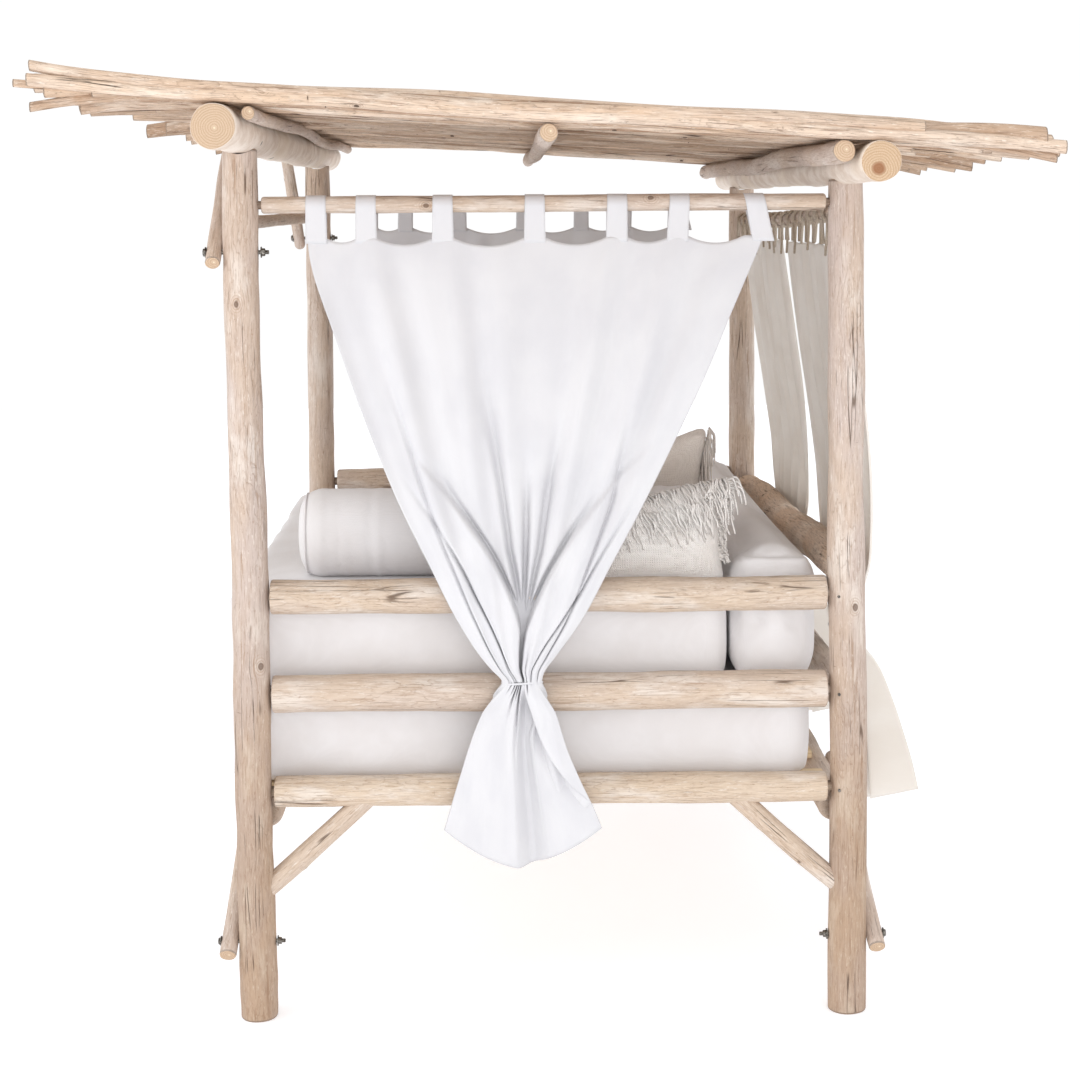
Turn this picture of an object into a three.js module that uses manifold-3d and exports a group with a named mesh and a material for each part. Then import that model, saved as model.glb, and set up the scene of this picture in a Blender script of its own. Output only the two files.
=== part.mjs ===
// An outdoor daybed with a canopy: peeled branch posts and rails, a roof of thin sticks,
// a slatted base, two mattresses, a back cushion, a bolster, two pillows and four tied curtains.
// Millimetres, +Z up. -Y is the open front, +X the right end, and the origin is on the floor.
import * as THREE from 'three';
import { mergeVertices } from 'three/addons/utils/BufferGeometryUtils.js';
import Module from 'manifold-3d';

const wasm = await Module();
wasm.setup();

// Clearances
const seatGap = 0.3; // between faces that touch
const shoulderGap = 1; // between a rail's shoulder and its post
const cutOverrun = 4; // how far a cutting shape runs past what it cuts

// Posts
const postSpanLength = 2050; // between the posts' axes along the bed
const postSpanDepth = 1410; // between the posts' axes from front to back
const postFootRadius = 45;
const postHeadRadius = 40;
const postBow = 3; // how far a post's middle leaves its straight line
const backFootLean = 28; // how far the back posts stand out at the foot
const mortiseCore = 18; // wood between a mortise's bottom and the post's axis
const saddleDepth = 10; // how deep a beam lies in the post's top

// Beams along the tops of the posts
const frontBeamHeight = 2130;
const frontBeamRadius = 47;
const beamFall = 80; // how much lower the back beam lies
const backBeamHeight = frontBeamHeight - beamFall;
const backBeamRadius = 43;
const beamLength = 2950;

// Rails of the two ends
const lowerEndRailHeight = 562;
const lowerEndRailRadius = 37;
const middleEndRailHeight = 802;
const middleEndRailRadius = 45;
const topEndRailHeight = 1039;
const topEndRailRadius = 41;
const railTenonRadius = 14;

// Rails along the bed
const longRailHeight = 500;
const longRailRadius = 40;
const longRailInset = 22; // how far inside the posts' axes it runs
const backMiddleRailHeight = 760;
const backMiddleRailRadius = 40;
const backRailOutset = 10; // how far outside the posts' axes the two back rails run
const backTopRailRadius = 47;
const backTopRailRightHeight = 1090;
const backTopRailLeftHeight = 1008;

// Curtain rods
const endRodDrop = 85; // below the back beam's axis
const endRodHeight = backBeamHeight - endRodDrop;
const endRodRadius = 19.5;
const sideRodDrop = 125; // below the back beam's axis
const sideRodHeight = backBeamHeight - sideRodDrop;
const sideRodRadius = 16;
const rodTenonRadius = 10;

// Braces under the end rails
const endBraceFootHeight = 300;
const endBraceReach = 290; // from the post's axis along the rail
const endBraceRadius = 25;

// Braces on the outer faces of the posts, one bolt each
const braceBoltHeight = 190;
const braceRun = 460;
const braceHeadHeight = 512;
const braceRadius = 20;
const braceTail = 42; // brace beyond its bolt
const kneeBoltDrop = 274; // below the front beam's axis
const kneeBoltHeight = frontBeamHeight - kneeBoltDrop;
const kneeRun = 400;
const kneeHeadRise = 12; // above the beam's axis
const kneeRadius = 18;

// Bolts
const boltRadius = 5;
const boltHeadRadius = 9;
const boltHeadLength = 6;
const boltNutLength = 8;
const boltEndLength = 9;
const washerRadius = 13;
const washerThickness = 2;

// Roof
const roofLength = 2930; // along the bed, over all sticks
const roofDepth = 2200; // from front to back, over the longest sticks
const roofPanels = 5;
const sticksPerPanel = 17;
const stickRadius = 18.5;
const stickSides = 6;
const longestStickEvery = 7; // one stick in so many runs the full depth
const longestStickFirst = 3;
const poleLength = 2900;
const frontPoleRadius = 15;
const middlePoleRadius = 21;
const backPoleRadius = 25;
const poleBeamGap = 8; // between an outer pole and the beam beside it

// Slatted base
const slatCount = 8;
const slatWidth = 100;
const slatThickness = 18;
const slatLength = 1380;
const battenWidth = 40;
const battenHeight = 25;
const battenNotch = 1.5; // how deep a batten is let into the slats
const battenInset = 60; // from the long rail's inner side

// Bedding
const beddingEndGap = 11; // between the mattresses and the posts
const lowerMattressHeight = 238;
const upperMattressHeight = 231;
const mattressOverhang = 84; // past the front posts' axes
const backCushionDepth = 203;
const backCushionHeight = 350;
const backCushionGap = 6; // between the back cushion and the back rail
const cushionSplitGap = 3; // between the upper mattress and the back cushion
const mattressCorner = 70;
const mattressDrawIn = 9; // how far a side is drawn in between its corners
const mattressCrown = 10;
const mattressCrownRun = 70;
const cushionCorner = 60;
const cushionDrawIn = 6;
const cushionCrown = 20;
const cushionCrownRun = 60;
const beddingEdge = 22; // rounding of the long edges
const cornerSteps = 3;
const bolsterLength = 1010;
const bolsterRadius = 115;
const bolsterFromEnd = 272; // from the mattress's right end to the bolster's axis
const bolsterFromFront = 174; // from the mattress's front to the bolster's end
const bolsterFlat = 5; // how far the bolster sinks flat where it lies
const bolsterDome = 20;
const bolsterPiping = 7;
const frontPillowLength = 470;
const frontPillowHeight = 268;
const frontPillowThickness = 100;
const frontPillowLean = 9; // degrees
const rearPillowLength = 400;
const rearPillowHeight = 352;
const rearPillowThickness = 120;
const rearPillowLean = 10; // degrees
const pillowGap = 8; // between a pillow and what it leans on
const pillowColumns = 10;
const pillowRows = 8;
const pillowSquareness = 4; // exponent of the fall towards the rim

// Curtains
const clothThickness = 6;
const foldDepth = 19;
const curtainClearance = 6; // between the folds and the rails
const endCurtainDrop = 80; // from the rod's axis to the cloth's top
const endCurtainTop = endRodHeight - endCurtainDrop;
const endCurtainLength = 1465;
const endCurtainWidth = 1033;
const endCurtainCentre = -30; // along the rod
const backCurtainDrop = 65; // from the rod's axis to the cloth's top
const backCurtainTop = sideRodHeight - backCurtainDrop;
const backCurtainLength = 1440;
const backCurtainWidth = 900;
const backCurtainCentre = 495; // from the middle of the bed
const backHemFlare = 128; // how far the back hems swing out below their ties
const backBillow = 6; // how far the back curtains belly out above their ties
const hemDrop = 40; // how much lower the middle of a hem hangs
const endCurtainFolds = 6;
const endCurtainColumns = 20;
const backCurtainFolds = 4;
const backCurtainColumns = 16;
const waistWidth = 96;
const tieHeight = 14;
const tieThickness = 5;
const tieSteps = 16;
const tabWidth = 51;
const tabThickness = 4;
const tabCount = 7;
const tabClearance = 3;
const tabOverlap = 14; // how far a tab runs down over the hem
const tabArcSteps = 5;
const loopWidth = 12;
const loopCount = 6;

const wood = { color: 0xc9a27c, roughness: 0.75, metalness: 0 };
const greyBark = { color: 0xb4a797, roughness: 0.8, metalness: 0 };
const stickWood = { color: 0xbd9a78, roughness: 0.85, metalness: 0 };
const slatWood = { color: 0xc8ab86, roughness: 0.8, metalness: 0 };
const steel = { color: 0x6d6a66, roughness: 0.4, metalness: 1 };
const canvas = { color: 0xe9e4dd, roughness: 0.95, metalness: 0 };
const voile = { color: 0xf4f2ee, roughness: 0.95, metalness: 0 };
const wovenCotton = { color: 0xe6ddd0, roughness: 1, metalness: 0 };

const ends = [
  { name: 'right', side: 1 },
  { name: 'left', side: -1 },
];
const fronts = [
  { name: 'front', side: -1, beamHeight: frontBeamHeight, beamRadius: frontBeamRadius, lean: 0 },
  {
    name: 'back', side: 1, beamHeight: backBeamHeight, beamRadius: backBeamRadius,
    lean: backFootLean,
  },
];
const corners = ends.flatMap((end) =>
  fronts.map((front) => ({
    name: `${front.name}_${end.name}`,
    end,
    front,
    x: (end.side * postSpanLength) / 2,
    y: (front.side * postSpanDepth) / 2,
    top: front.beamHeight - front.beamRadius + saddleDepth,
    cuts: [],
  })),
);
const cornerAt = (front, end) => corners.find((corner) => corner.name === `${front}_${end}`);

// A named piece with its own material.
function piece(name, geometry, look) {
  const mesh = new THREE.Mesh(geometry, new THREE.MeshStandardMaterial(look));
  mesh.name = name;
  return mesh;
}

// Points and triangles as a geometry, turned right side out if it came inside out.
function closedGeometry(points, faces) {
  const edgeA = new THREE.Vector3();
  const edgeB = new THREE.Vector3();
  const volume = faces.reduce((sum, [a, b, c]) => {
    edgeA.copy(points[a]).cross(edgeB.copy(points[b]));
    return sum + edgeA.dot(points[c]);
  }, 0);
  const ordered = volume < 0 ? faces.map(([a, b, c]) => [a, c, b]) : faces;
  const geometry = new THREE.BufferGeometry().setFromPoints(points);
  geometry.setIndex(ordered.flat());
  geometry.computeVertexNormals();
  return geometry;
}

// A skin over a stack of rings with equal counts, flat at the first ring and at the last.
function ringSkin(rings) {
  const count = rings[0].length;
  const faces = [];
  for (let ring = 0; ring + 1 < rings.length; ring += 1) {
    for (let i = 0; i < count; i += 1) {
      const a = ring * count + i;
      const b = ring * count + ((i + 1) % count);
      faces.push([a, b, b + count], [a, b + count, a + count]);
    }
  }
  const last = (rings.length - 1) * count;
  for (let i = 1; i + 1 < count; i += 1) {
    faces.push([0, i + 1, i], [last, last + i, last + i + 1]);
  }
  return closedGeometry(rings.flat(), faces);
}

// A round piece along a line: stations are [distance from the start, radius], and the
// middle bows sideways towards the given turn. The rings of a level piece lie flat, and its
// distances are heights. A piece that others lie on has a corner on top.
function turned(start, finish, stations, options = {}) {
  const { sides = 10, bow = 0, turn = 0, level = false, cornerUp = false } = options;
  const cornerShare = cornerUp ? 0 : 0.5;
  const length = level ? finish.z - start.z : start.distanceTo(finish);
  const line = finish.clone().sub(start).divideScalar(length);
  const along = level ? new THREE.Vector3(0, 0, 1) : line;
  const reference = Math.abs(along.z) > Math.SQRT1_2 ? [1, 0, 0] : [0, 0, 1];
  const across = new THREE.Vector3(...reference).cross(along).normalize();
  const over = along.clone().cross(across);
  const spoke = (angle, radius) =>
    across.clone().multiplyScalar(Math.cos(angle) * radius)
      .addScaledVector(over, Math.sin(angle) * radius);
  const rings = stations.map(([distance, radius]) => {
    const centre = start.clone().addScaledVector(line, distance);
    centre.add(spoke(turn, bow * Math.sin((Math.PI * distance) / length)));
    return Array.from({ length: sides }, (_, i) =>
      centre.clone().add(spoke(((i + cornerShare) * 2 * Math.PI) / sides, radius)));
  });
  return ringSkin(rings);
}

function toSolid(geometry) {
  const plain = geometry.clone();
  plain.deleteAttribute('normal');
  plain.deleteAttribute('uv');
  const merged = mergeVertices(plain);
  return new wasm.Manifold(new wasm.Mesh({
    numProp: 3,
    vertProperties: new Float32Array(merged.attributes.position.array),
    triVerts: new Uint32Array(merged.index.array),
  }));
}

function toGeometry(solid) {
  const { vertProperties, triVerts } = solid.getMesh();
  const geometry = new THREE.BufferGeometry();
  geometry.setAttribute('position', new THREE.BufferAttribute(vertProperties, 3));
  geometry.setIndex(new THREE.BufferAttribute(triVerts, 1));
  geometry.computeVertexNormals();
  return geometry;
}

const cut = (geometry, tools) =>
  toGeometry(tools.reduce((rest, tool) => rest.subtract(toSolid(tool)), toSolid(geometry)));

const join = (geometries) =>
  toGeometry(geometries.map(toSolid).reduce((whole, next) => whole.add(next)));

// The post's axis at a height, its radius there, and how far its surface can reach.
const postAxisAt = (corner, z) => {
  const lean = corner.front.side * corner.front.lean * (1 - z / corner.top);
  return new THREE.Vector3(corner.x, corner.y + lean, z);
};
const postRadiusAt = (corner, z) =>
  THREE.MathUtils.lerp(postFootRadius, postHeadRadius, z / corner.top);
const postReachAt = (corner, z) => postRadiusAt(corner, z) + postBow + seatGap;

// A post: a tapered, slightly bowed log, cut flat at the foot.
function postShape(corner, growth = 0) {
  const stationShares = [0, 0.18, 0.36, 0.54, 0.72, 0.88, 1];
  const stations = stationShares.map((share) =>
    [share * corner.top, postRadiusAt(corner, share * corner.top) + growth]);
  const turn = corner.end.side * corner.front.side * (Math.PI / 4);
  return turned(postAxisAt(corner, 0), postAxisAt(corner, corner.top), stations,
    { sides: 12, bow: postBow, turn, level: true });
}

// How full a rail is in its middle, as a share of its radius at the ends.
const railFullShare = 1.03;

// A rail between two posts: round tenons, rounded shoulders and a fuller middle. Its
// mortises are added to what is cut from the posts.
function addRail(name, [cornerA, a], [cornerB, b], radius, tenonRadius, sides = 10) {
  const length = a.distanceTo(b);
  const shoulders = [[cornerA, a], [cornerB, b]].map(([corner, point]) =>
    postReachAt(corner, point.z) + shoulderGap);
  const shoulderShare = 0.78;
  const roundShare = 0.4;
  const end = (shoulder) => [
    [mortiseCore + seatGap, tenonRadius],
    [shoulder, tenonRadius],
    [shoulder, radius * shoulderShare],
    [shoulder + radius * roundShare, radius],
  ];
  const stations = [
    ...end(shoulders[0]),
    [length / 2, radius * railFullShare],
    ...end(shoulders[1]).map(([at, size]) => [length - at, size]).reverse(),
  ];
  const mortise = (from, to, shoulder) => turned(from, to, [
    [mortiseCore, tenonRadius + seatGap],
    [shoulder + cutOverrun, tenonRadius + seatGap],
  ], { sides });
  cornerA.cuts.push(mortise(a, b, shoulders[0]));
  cornerB.cuts.push(mortise(b, a, shoulders[1]));
  return piece(name, turned(a, b, stations, { sides }), wood);
}

// The rails and the rod of one end, between its front and back posts.
function endRails(end) {
  const front = cornerAt('front', end.name);
  const back = cornerAt('back', end.name);
  const across = (name, height, radius, tenonRadius) => addRail(
    `${end.name}_end_${name}`,
    [front, postAxisAt(front, height)],
    [back, postAxisAt(back, height)],
    radius, tenonRadius,
  );
  return [
    across('lower_rail', lowerEndRailHeight, lowerEndRailRadius, railTenonRadius),
    across('middle_rail', middleEndRailHeight, middleEndRailRadius, railTenonRadius),
    across('top_rail', topEndRailHeight, topEndRailRadius, railTenonRadius),
    across('curtain_rod', endRodHeight, endRodRadius, rodTenonRadius),
  ];
}

// The rails and rods along the bed, between its left and right posts.
function sideRails() {
  const along = (name, front, inset, heights, radius, tenonRadius) => {
    const [right, left] = ends.map((end, i) => {
      const corner = cornerAt(front.name, end.name);
      const axis = postAxisAt(corner, heights[i]);
      return [corner, axis.setY(axis.y - front.side * inset)];
    });
    return addRail(name, right, left, radius, tenonRadius);
  };
  const [front, back] = fronts;
  const level = (height) => [height, height];
  const topHeights = [backTopRailRightHeight, backTopRailLeftHeight];
  return [
    ...fronts.map((side) => along(`${side.name}_long_rail`, side, longRailInset,
      level(longRailHeight), longRailRadius, railTenonRadius)),
    along('back_middle_rail', back, -backRailOutset, level(backMiddleRailHeight),
      backMiddleRailRadius, railTenonRadius),
    along('back_top_rail', back, -backRailOutset, topHeights,
      backTopRailRadius, railTenonRadius),
    along('front_curtain_rod', front, 0, level(sideRodHeight), sideRodRadius, rodTenonRadius),
    along('back_curtain_rod', back, 0, level(sideRodHeight), sideRodRadius, rodTenonRadius),
  ];
}

// A beam lies in the saddles of its two posts and runs past them.
function beamShape(front, growth = 0) {
  const y = (front.side * postSpanDepth) / 2;
  const start = new THREE.Vector3(-beamLength / 2, y, front.beamHeight);
  const finish = new THREE.Vector3(beamLength / 2, y, front.beamHeight);
  const radius = front.beamRadius + growth;
  const bevelShare = 0.1;
  const bevel = radius * bevelShare;
  return turned(start, finish, [
    [0, radius - bevel],
    [bevel, radius],
    [beamLength - bevel, radius],
    [beamLength, radius - bevel],
  ], { sides: 12, cornerUp: true });
}

// A brace in the plane of one end, coped to its post and to the lower end rail.
function endBrace(corner) {
  const inward = -corner.front.side;
  const foot = postAxisAt(corner, endBraceFootHeight);
  const railStart = postAxisAt(corner, lowerEndRailHeight);
  const railFinish = railStart.clone().setY(-railStart.y);
  const head = railStart.clone().setY(railStart.y + inward * endBraceReach);
  const length = foot.distanceTo(head);
  const blank = turned(foot, head, [[0, endBraceRadius], [length, endBraceRadius]], { sides: 8 });
  const railSize = lowerEndRailRadius * railFullShare + seatGap;
  const rail = turned(railStart, railFinish, [[0, railSize], [postSpanDepth, railSize]]);
  const shape = cut(blank, [postShape(corner, seatGap), rail]);
  return piece(`${corner.name}_end_brace`, shape, wood);
}

// A through bolt along Y from its head, with a washer at each side and a nut on its end.
function bolt(name, x, headFace, nutFace, z) {
  const inward = Math.sign(nutFace - headFace);
  const headEnd = headFace - inward * (washerThickness + boltHeadLength);
  const head = new THREE.Vector3(x, headEnd, z);
  const headWasher = boltHeadLength + washerThickness;
  const nutWasher = headWasher + Math.abs(nutFace - headFace);
  const nut = nutWasher + washerThickness;
  const tail = nut + boltNutLength;
  const length = tail + boltEndLength;
  const tip = head.clone().setY(headEnd + inward * length);
  return piece(name, turned(head, tip, [
    [0, boltHeadRadius], [boltHeadLength, boltHeadRadius],
    [boltHeadLength, washerRadius], [headWasher, washerRadius],
    [headWasher, boltRadius], [nutWasher, boltRadius],
    [nutWasher, washerRadius], [nut, washerRadius],
    [nut, boltHeadRadius], [tail, boltHeadRadius],
    [tail, boltRadius], [length, boltRadius],
  ], { sides: 8 }), steel);
}

// A brace bolted to the outer face of a post. It ends beside the rail or beam that it holds.
function boltedBrace(corner, name, { boltZ, radius, outY, head }) {
  const out = corner.front.side;
  const through = new THREE.Vector3(corner.x, out * outY, boltZ);
  const direction = head.clone().sub(through).normalize();
  const start = through.clone().addScaledVector(direction, -braceTail);
  const length = start.distanceTo(head);
  const blank = turned(start, head, [[0, radius], [length, radius]], { sides: 8 });
  const headFace = out * (outY + radius + seatGap);
  const nutFace = postAxisAt(corner, boltZ).y - out * postReachAt(corner, boltZ);
  const holeRadius = boltRadius + seatGap;
  const holeStart = new THREE.Vector3(corner.x, headFace + out * cutOverrun, boltZ);
  const holeEnd = new THREE.Vector3(corner.x, nutFace - out * cutOverrun, boltZ);
  const holeLength = holeStart.distanceTo(holeEnd);
  const holeStations = [[0, holeRadius], [holeLength, holeRadius]];
  const hole = turned(holeStart, holeEnd, holeStations, { sides: 8 });
  corner.cuts.push(hole);
  return [
    piece(`${corner.name}_${name}`, cut(blank, [hole]), wood),
    bolt(`${corner.name}_${name}_bolt`, corner.x, headFace, nutFace, boltZ),
  ];
}

// The low brace from a post's foot to the long rail, on the outside of both.
function lowBrace(corner) {
  const bolted = Math.abs(postAxisAt(corner, braceBoltHeight).y);
  const outY = bolted + postReachAt(corner, braceBoltHeight) + braceRadius;
  const headX = corner.x - corner.end.side * braceRun;
  const railAxis = Math.abs(postAxisAt(corner, longRailHeight).y) - longRailInset;
  const railSide = railAxis + longRailRadius * railFullShare + seatGap * 2;
  const headY = corner.front.side * (railSide + braceRadius);
  const head = new THREE.Vector3(headX, headY, braceHeadHeight);
  const sizes = { boltZ: braceBoltHeight, radius: braceRadius, outY, head };
  return boltedBrace(corner, 'low_brace', sizes);
}

// The knee brace from a front post up to the beam, on the outside of both.
function kneeBrace(corner) {
  const beside = Math.max(corner.front.beamRadius + seatGap, postReachAt(corner, kneeBoltHeight));
  const outY = Math.abs(corner.y) + beside + kneeRadius;
  const headX = corner.x - corner.end.side * kneeRun;
  const headZ = corner.front.beamHeight + kneeHeadRise;
  const head = new THREE.Vector3(headX, corner.front.side * outY, headZ);
  return boltedBrace(corner, 'knee_brace', { boltZ: kneeBoltHeight, radius: kneeRadius, outY, head });
}

// The finished post, with its mortises, bolt holes and the saddle for the beam.
function post(corner) {
  const tools = [...corner.cuts, beamShape(corner.front, seatGap)];
  return piece(`${corner.name}_post`, cut(postShape(corner), tools), wood);
}

// The roof lies on a plane that touches the tops of both beams.
const beamRise = frontBeamHeight - backBeamHeight;
const beamDistance = Math.hypot(postSpanDepth, beamRise);
const roofSlope = Math.atan2(beamRise, postSpanDepth)
  + Math.asin((frontBeamRadius - backBeamRadius) / beamDistance);

// A panel of sticks, each overlapping the next so that the panel is one piece. The sticks
// taper, and their ends are staggered; the outermost sticks of the roof are the longest.
function roofPanel(index) {
  const panelPitch = roofLength / roofPanels;
  const stickPitch = (panelPitch - seatGap - stickRadius * 2) / (sticksPerPanel - 1);
  const firstX = (index - roofPanels / 2) * panelPitch + seatGap / 2 + stickRadius;
  const staggerShare = 0.045;
  const thinShare = 0.07;
  const scatter = (serial, pace) => (1 + Math.sin(serial * pace)) / 2;
  const paces = { front: 2.3, back: 3.1, thickness: 1.9 };
  const originY = -postSpanDepth / 2 + Math.sin(roofSlope) * (frontBeamRadius + seatGap);
  const leanOver = Math.sin(roofSlope) * 2 * stickRadius;
  const frontEnd = (-roofDepth / 2 - originY) / Math.cos(roofSlope);
  const backEnd = (roofDepth / 2 - originY - leanOver) / Math.cos(roofSlope);
  const sticks = Array.from({ length: sticksPerPanel }, (_, i) => {
    const serial = index * sticksPerPanel + i;
    const longest = serial % longestStickEvery === longestStickFirst;
    const stagger = (pace) => (longest ? 0 : scatter(serial, pace) * staggerShare * roofDepth);
    const full = longest || i === 0 || i === sticksPerPanel - 1;
    const thick = stickRadius * (full ? 1 : 1 - scatter(serial, paces.thickness) * thinShare);
    const thin = full ? thick : thick * (1 - thinShare / 2);
    const x = firstX + i * stickPitch;
    const start = new THREE.Vector3(x, frontEnd + stagger(paces.front), thick);
    const finish = new THREE.Vector3(x, backEnd - stagger(paces.back), thin);
    return stickShape(start, finish, thick, thin);
  });
  return piece(`roof_panel_${index + 1}`, join(sticks), stickWood);
}

// A stick lying with corners to its sides and a flat below, as high as it is wide.
function stickShape(start, finish, startRadius, finishRadius) {
  const flatReach = Math.cos(Math.PI / stickSides);
  const ring = (centre, radius) => Array.from({ length: stickSides }, (_, i) => {
    const angle = (i * 2 * Math.PI) / stickSides;
    return new THREE.Vector3(
      centre.x + radius * Math.cos(angle), centre.y,
      centre.z + (radius * Math.sin(angle)) / flatReach,
    );
  });
  return ringSkin([ring(start, startRadius), ring(finish, finishRadius)]);
}

// A pole along the bed, right under the sticks. Its place is measured down the slope from
// the front beam.
function roofPole(name, fromFrontBeam, radius, look) {
  const start = new THREE.Vector3(-poleLength / 2, fromFrontBeam, -radius - seatGap);
  const finish = start.clone().setX(poleLength / 2);
  const stations = [[0, radius], [poleLength, radius]];
  return piece(name, turned(start, finish, stations, { sides: 8, cornerUp: true }), look);
}

function roof() {
  const group = new THREE.Group();
  const lift = frontBeamRadius + seatGap;
  group.position.set(
    0,
    -postSpanDepth / 2 + Math.sin(roofSlope) * lift,
    frontBeamHeight + Math.cos(roofSlope) * lift,
  );
  group.rotation.x = -roofSlope;
  const backBeamAt = Math.sqrt(beamDistance ** 2 - (frontBeamRadius - backBeamRadius) ** 2);
  for (let index = 0; index < roofPanels; index += 1) group.add(roofPanel(index));
  const besideFront = frontBeamRadius + poleBeamGap + frontPoleRadius;
  const besideBack = backBeamRadius + poleBeamGap + backPoleRadius;
  group.add(
    roofPole('front_roof_pole', besideFront, frontPoleRadius, wood),
    roofPole('middle_roof_pole', backBeamAt / 2, middlePoleRadius, wood),
    roofPole('back_roof_pole', backBeamAt - besideBack, backPoleRadius, wood),
  );
  return group;
}

// Slats across the long rails, joined by two battens into one base.
const slatBottom = longRailHeight + longRailRadius * railFullShare + seatGap;
const slatTop = slatBottom + slatThickness;

function slattedBase() {
  const innerLength = postSpanLength - 2 * (postFootRadius + postBow + beddingEndGap);
  const pitch = (innerLength - slatWidth) / (slatCount - 1);
  const slats = Array.from({ length: slatCount }, (_, i) => {
    const slat = new THREE.BoxGeometry(slatWidth, slatLength, slatThickness);
    const x = -innerLength / 2 + slatWidth / 2 + i * pitch;
    return slat.translate(x, 0, slatBottom + slatThickness / 2);
  });
  const battenY = postSpanDepth / 2 - longRailInset - longRailRadius - battenInset;
  const battenZ = slatBottom + battenNotch - battenHeight / 2;
  const battens = fronts.map((front) =>
    new THREE.BoxGeometry(innerLength - slatWidth, battenWidth, battenHeight)
      .translate(0, front.side * battenY, battenZ));
  return piece('slatted_base', join([...slats, ...battens]), slatWood);
}

// A rectangle with round corners, its sides drawn in between the corners.
function cushionRing(halfLength, halfWidth, cornerRadius, drawIn, z) {
  const round = Math.min(cornerRadius, halfLength, halfWidth);
  const points = [];
  const sideShares = { long: [0.5, 0, -0.5], short: [0] };
  const quadrants = [[1, 1], [-1, 1], [-1, -1], [1, -1]];
  quadrants.forEach(([sx, sy], quarter) => {
    for (let step = 0; step <= cornerSteps; step += 1) {
      const angle = ((quarter + step / cornerSteps) * Math.PI) / 2;
      points.push(new THREE.Vector3(
        sx * (halfLength - round) + round * Math.cos(angle),
        sy * (halfWidth - round) + round * Math.sin(angle), z,
      ));
    }
    const alongX = quarter % 2 === 0;
    for (const share of alongX ? sideShares.long : sideShares.short) {
      const pull = drawIn * (1 - share * share);
      points.push(alongX
        ? new THREE.Vector3(sx * share * (halfLength - round), sy * (halfWidth - pull), z)
        : new THREE.Vector3(sx * (halfLength - pull), sy * share * (halfWidth - round), z));
    }
  });
  return points;
}

// A boxed cushion on its flat base: bulging sides, rounded edges and a crowned top.
function cushionShape({ length, width, height, corner, drawIn, crown, crownRun }) {
  const bulgeShare = 0.3;
  const edge = beddingEdge;
  const rim = height - crown;
  const layers = [
    [0, edge],
    [edge, edge * bulgeShare],
    [rim / 2, 0],
    [rim - edge, edge * bulgeShare],
    [rim, edge],
    [height, crownRun],
  ];
  const rings = layers.map(([z, inset]) =>
    cushionRing(length / 2 - inset, width / 2 - inset, corner, drawIn, z));
  return ringSkin(rings);
}

// A pillow standing on its long edge: full in the middle, thin at its drawn-in rim.
function pillowShape(length, height, thickness) {
  const columns = pillowColumns;
  const rows = pillowRows;
  const drawInShare = 0.07;
  const rimShare = 0.06;
  const points = [];
  const faces = [];
  const at = (side, i, j) => (side * (rows + 1) + j) * (columns + 1) + i;
  for (const side of [1, -1]) {
    for (let j = 0; j <= rows; j += 1) {
      for (let i = 0; i <= columns; i += 1) {
        const u = (2 * i) / columns - 1;
        const v = (2 * j) / rows - 1;
        const y = (length / 2) * u * (1 - drawInShare * (1 - v * v));
        const z = (height / 2) * v * (1 - drawInShare * (1 - u * u));
        const fullness = Math.sqrt((1 - u ** pillowSquareness) * (1 - v ** pillowSquareness));
        const half = (thickness / 2) * (rimShare + (1 - rimShare) * fullness);
        points.push(new THREE.Vector3(side * half, y, z));
      }
    }
  }
  for (const side of [0, 1]) {
    for (let j = 0; j < rows; j += 1) {
      for (let i = 0; i < columns; i += 1) {
        const [a, b] = [at(side, i, j), at(side, i + 1, j)];
        const [c, d] = [at(side, i + 1, j + 1), at(side, i, j + 1)];
        faces.push(...(side === 0 ? [[a, b, c], [a, c, d]] : [[a, c, b], [a, d, c]]));
      }
    }
  }
  const rim = (i, j, m, n) => {
    faces.push([at(0, i, j), at(1, i, j), at(1, m, n)], [at(0, i, j), at(1, m, n), at(0, m, n)]);
  };
  for (let i = 0; i < columns; i += 1) {
    rim(i, 0, i + 1, 0);
    rim(i + 1, rows, i, rows);
  }
  for (let j = 0; j < rows; j += 1) {
    rim(columns, j, columns, j + 1);
    rim(0, j + 1, 0, j);
  }
  return closedGeometry(points, faces);
}

// The bolster: a drum with domed ends, piping at both rims and a flat where it lies.
function bolsterShape() {
  const domeShare = 0.75;
  const pipingShare = 1.02;
  const end = [
    [0, bolsterRadius * domeShare],
    [bolsterDome, bolsterRadius],
    [bolsterDome + bolsterPiping, bolsterRadius * pipingShare],
    [bolsterDome + bolsterPiping * 2, bolsterRadius],
  ];
  const stations = [...end, ...end.map(([at, size]) => [bolsterLength - at, size]).reverse()];
  const start = new THREE.Vector3(0, 0, bolsterRadius - bolsterFlat);
  const finish = new THREE.Vector3(0, bolsterLength, bolsterRadius - bolsterFlat);
  const shape = turned(start, finish, stations, { sides: 14 });
  const position = shape.attributes.position;
  for (let i = 0; i < position.count; i += 1) {
    position.setZ(i, Math.max(position.getZ(i), 0));
  }
  shape.computeVertexNormals();
  return shape;
}

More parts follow.
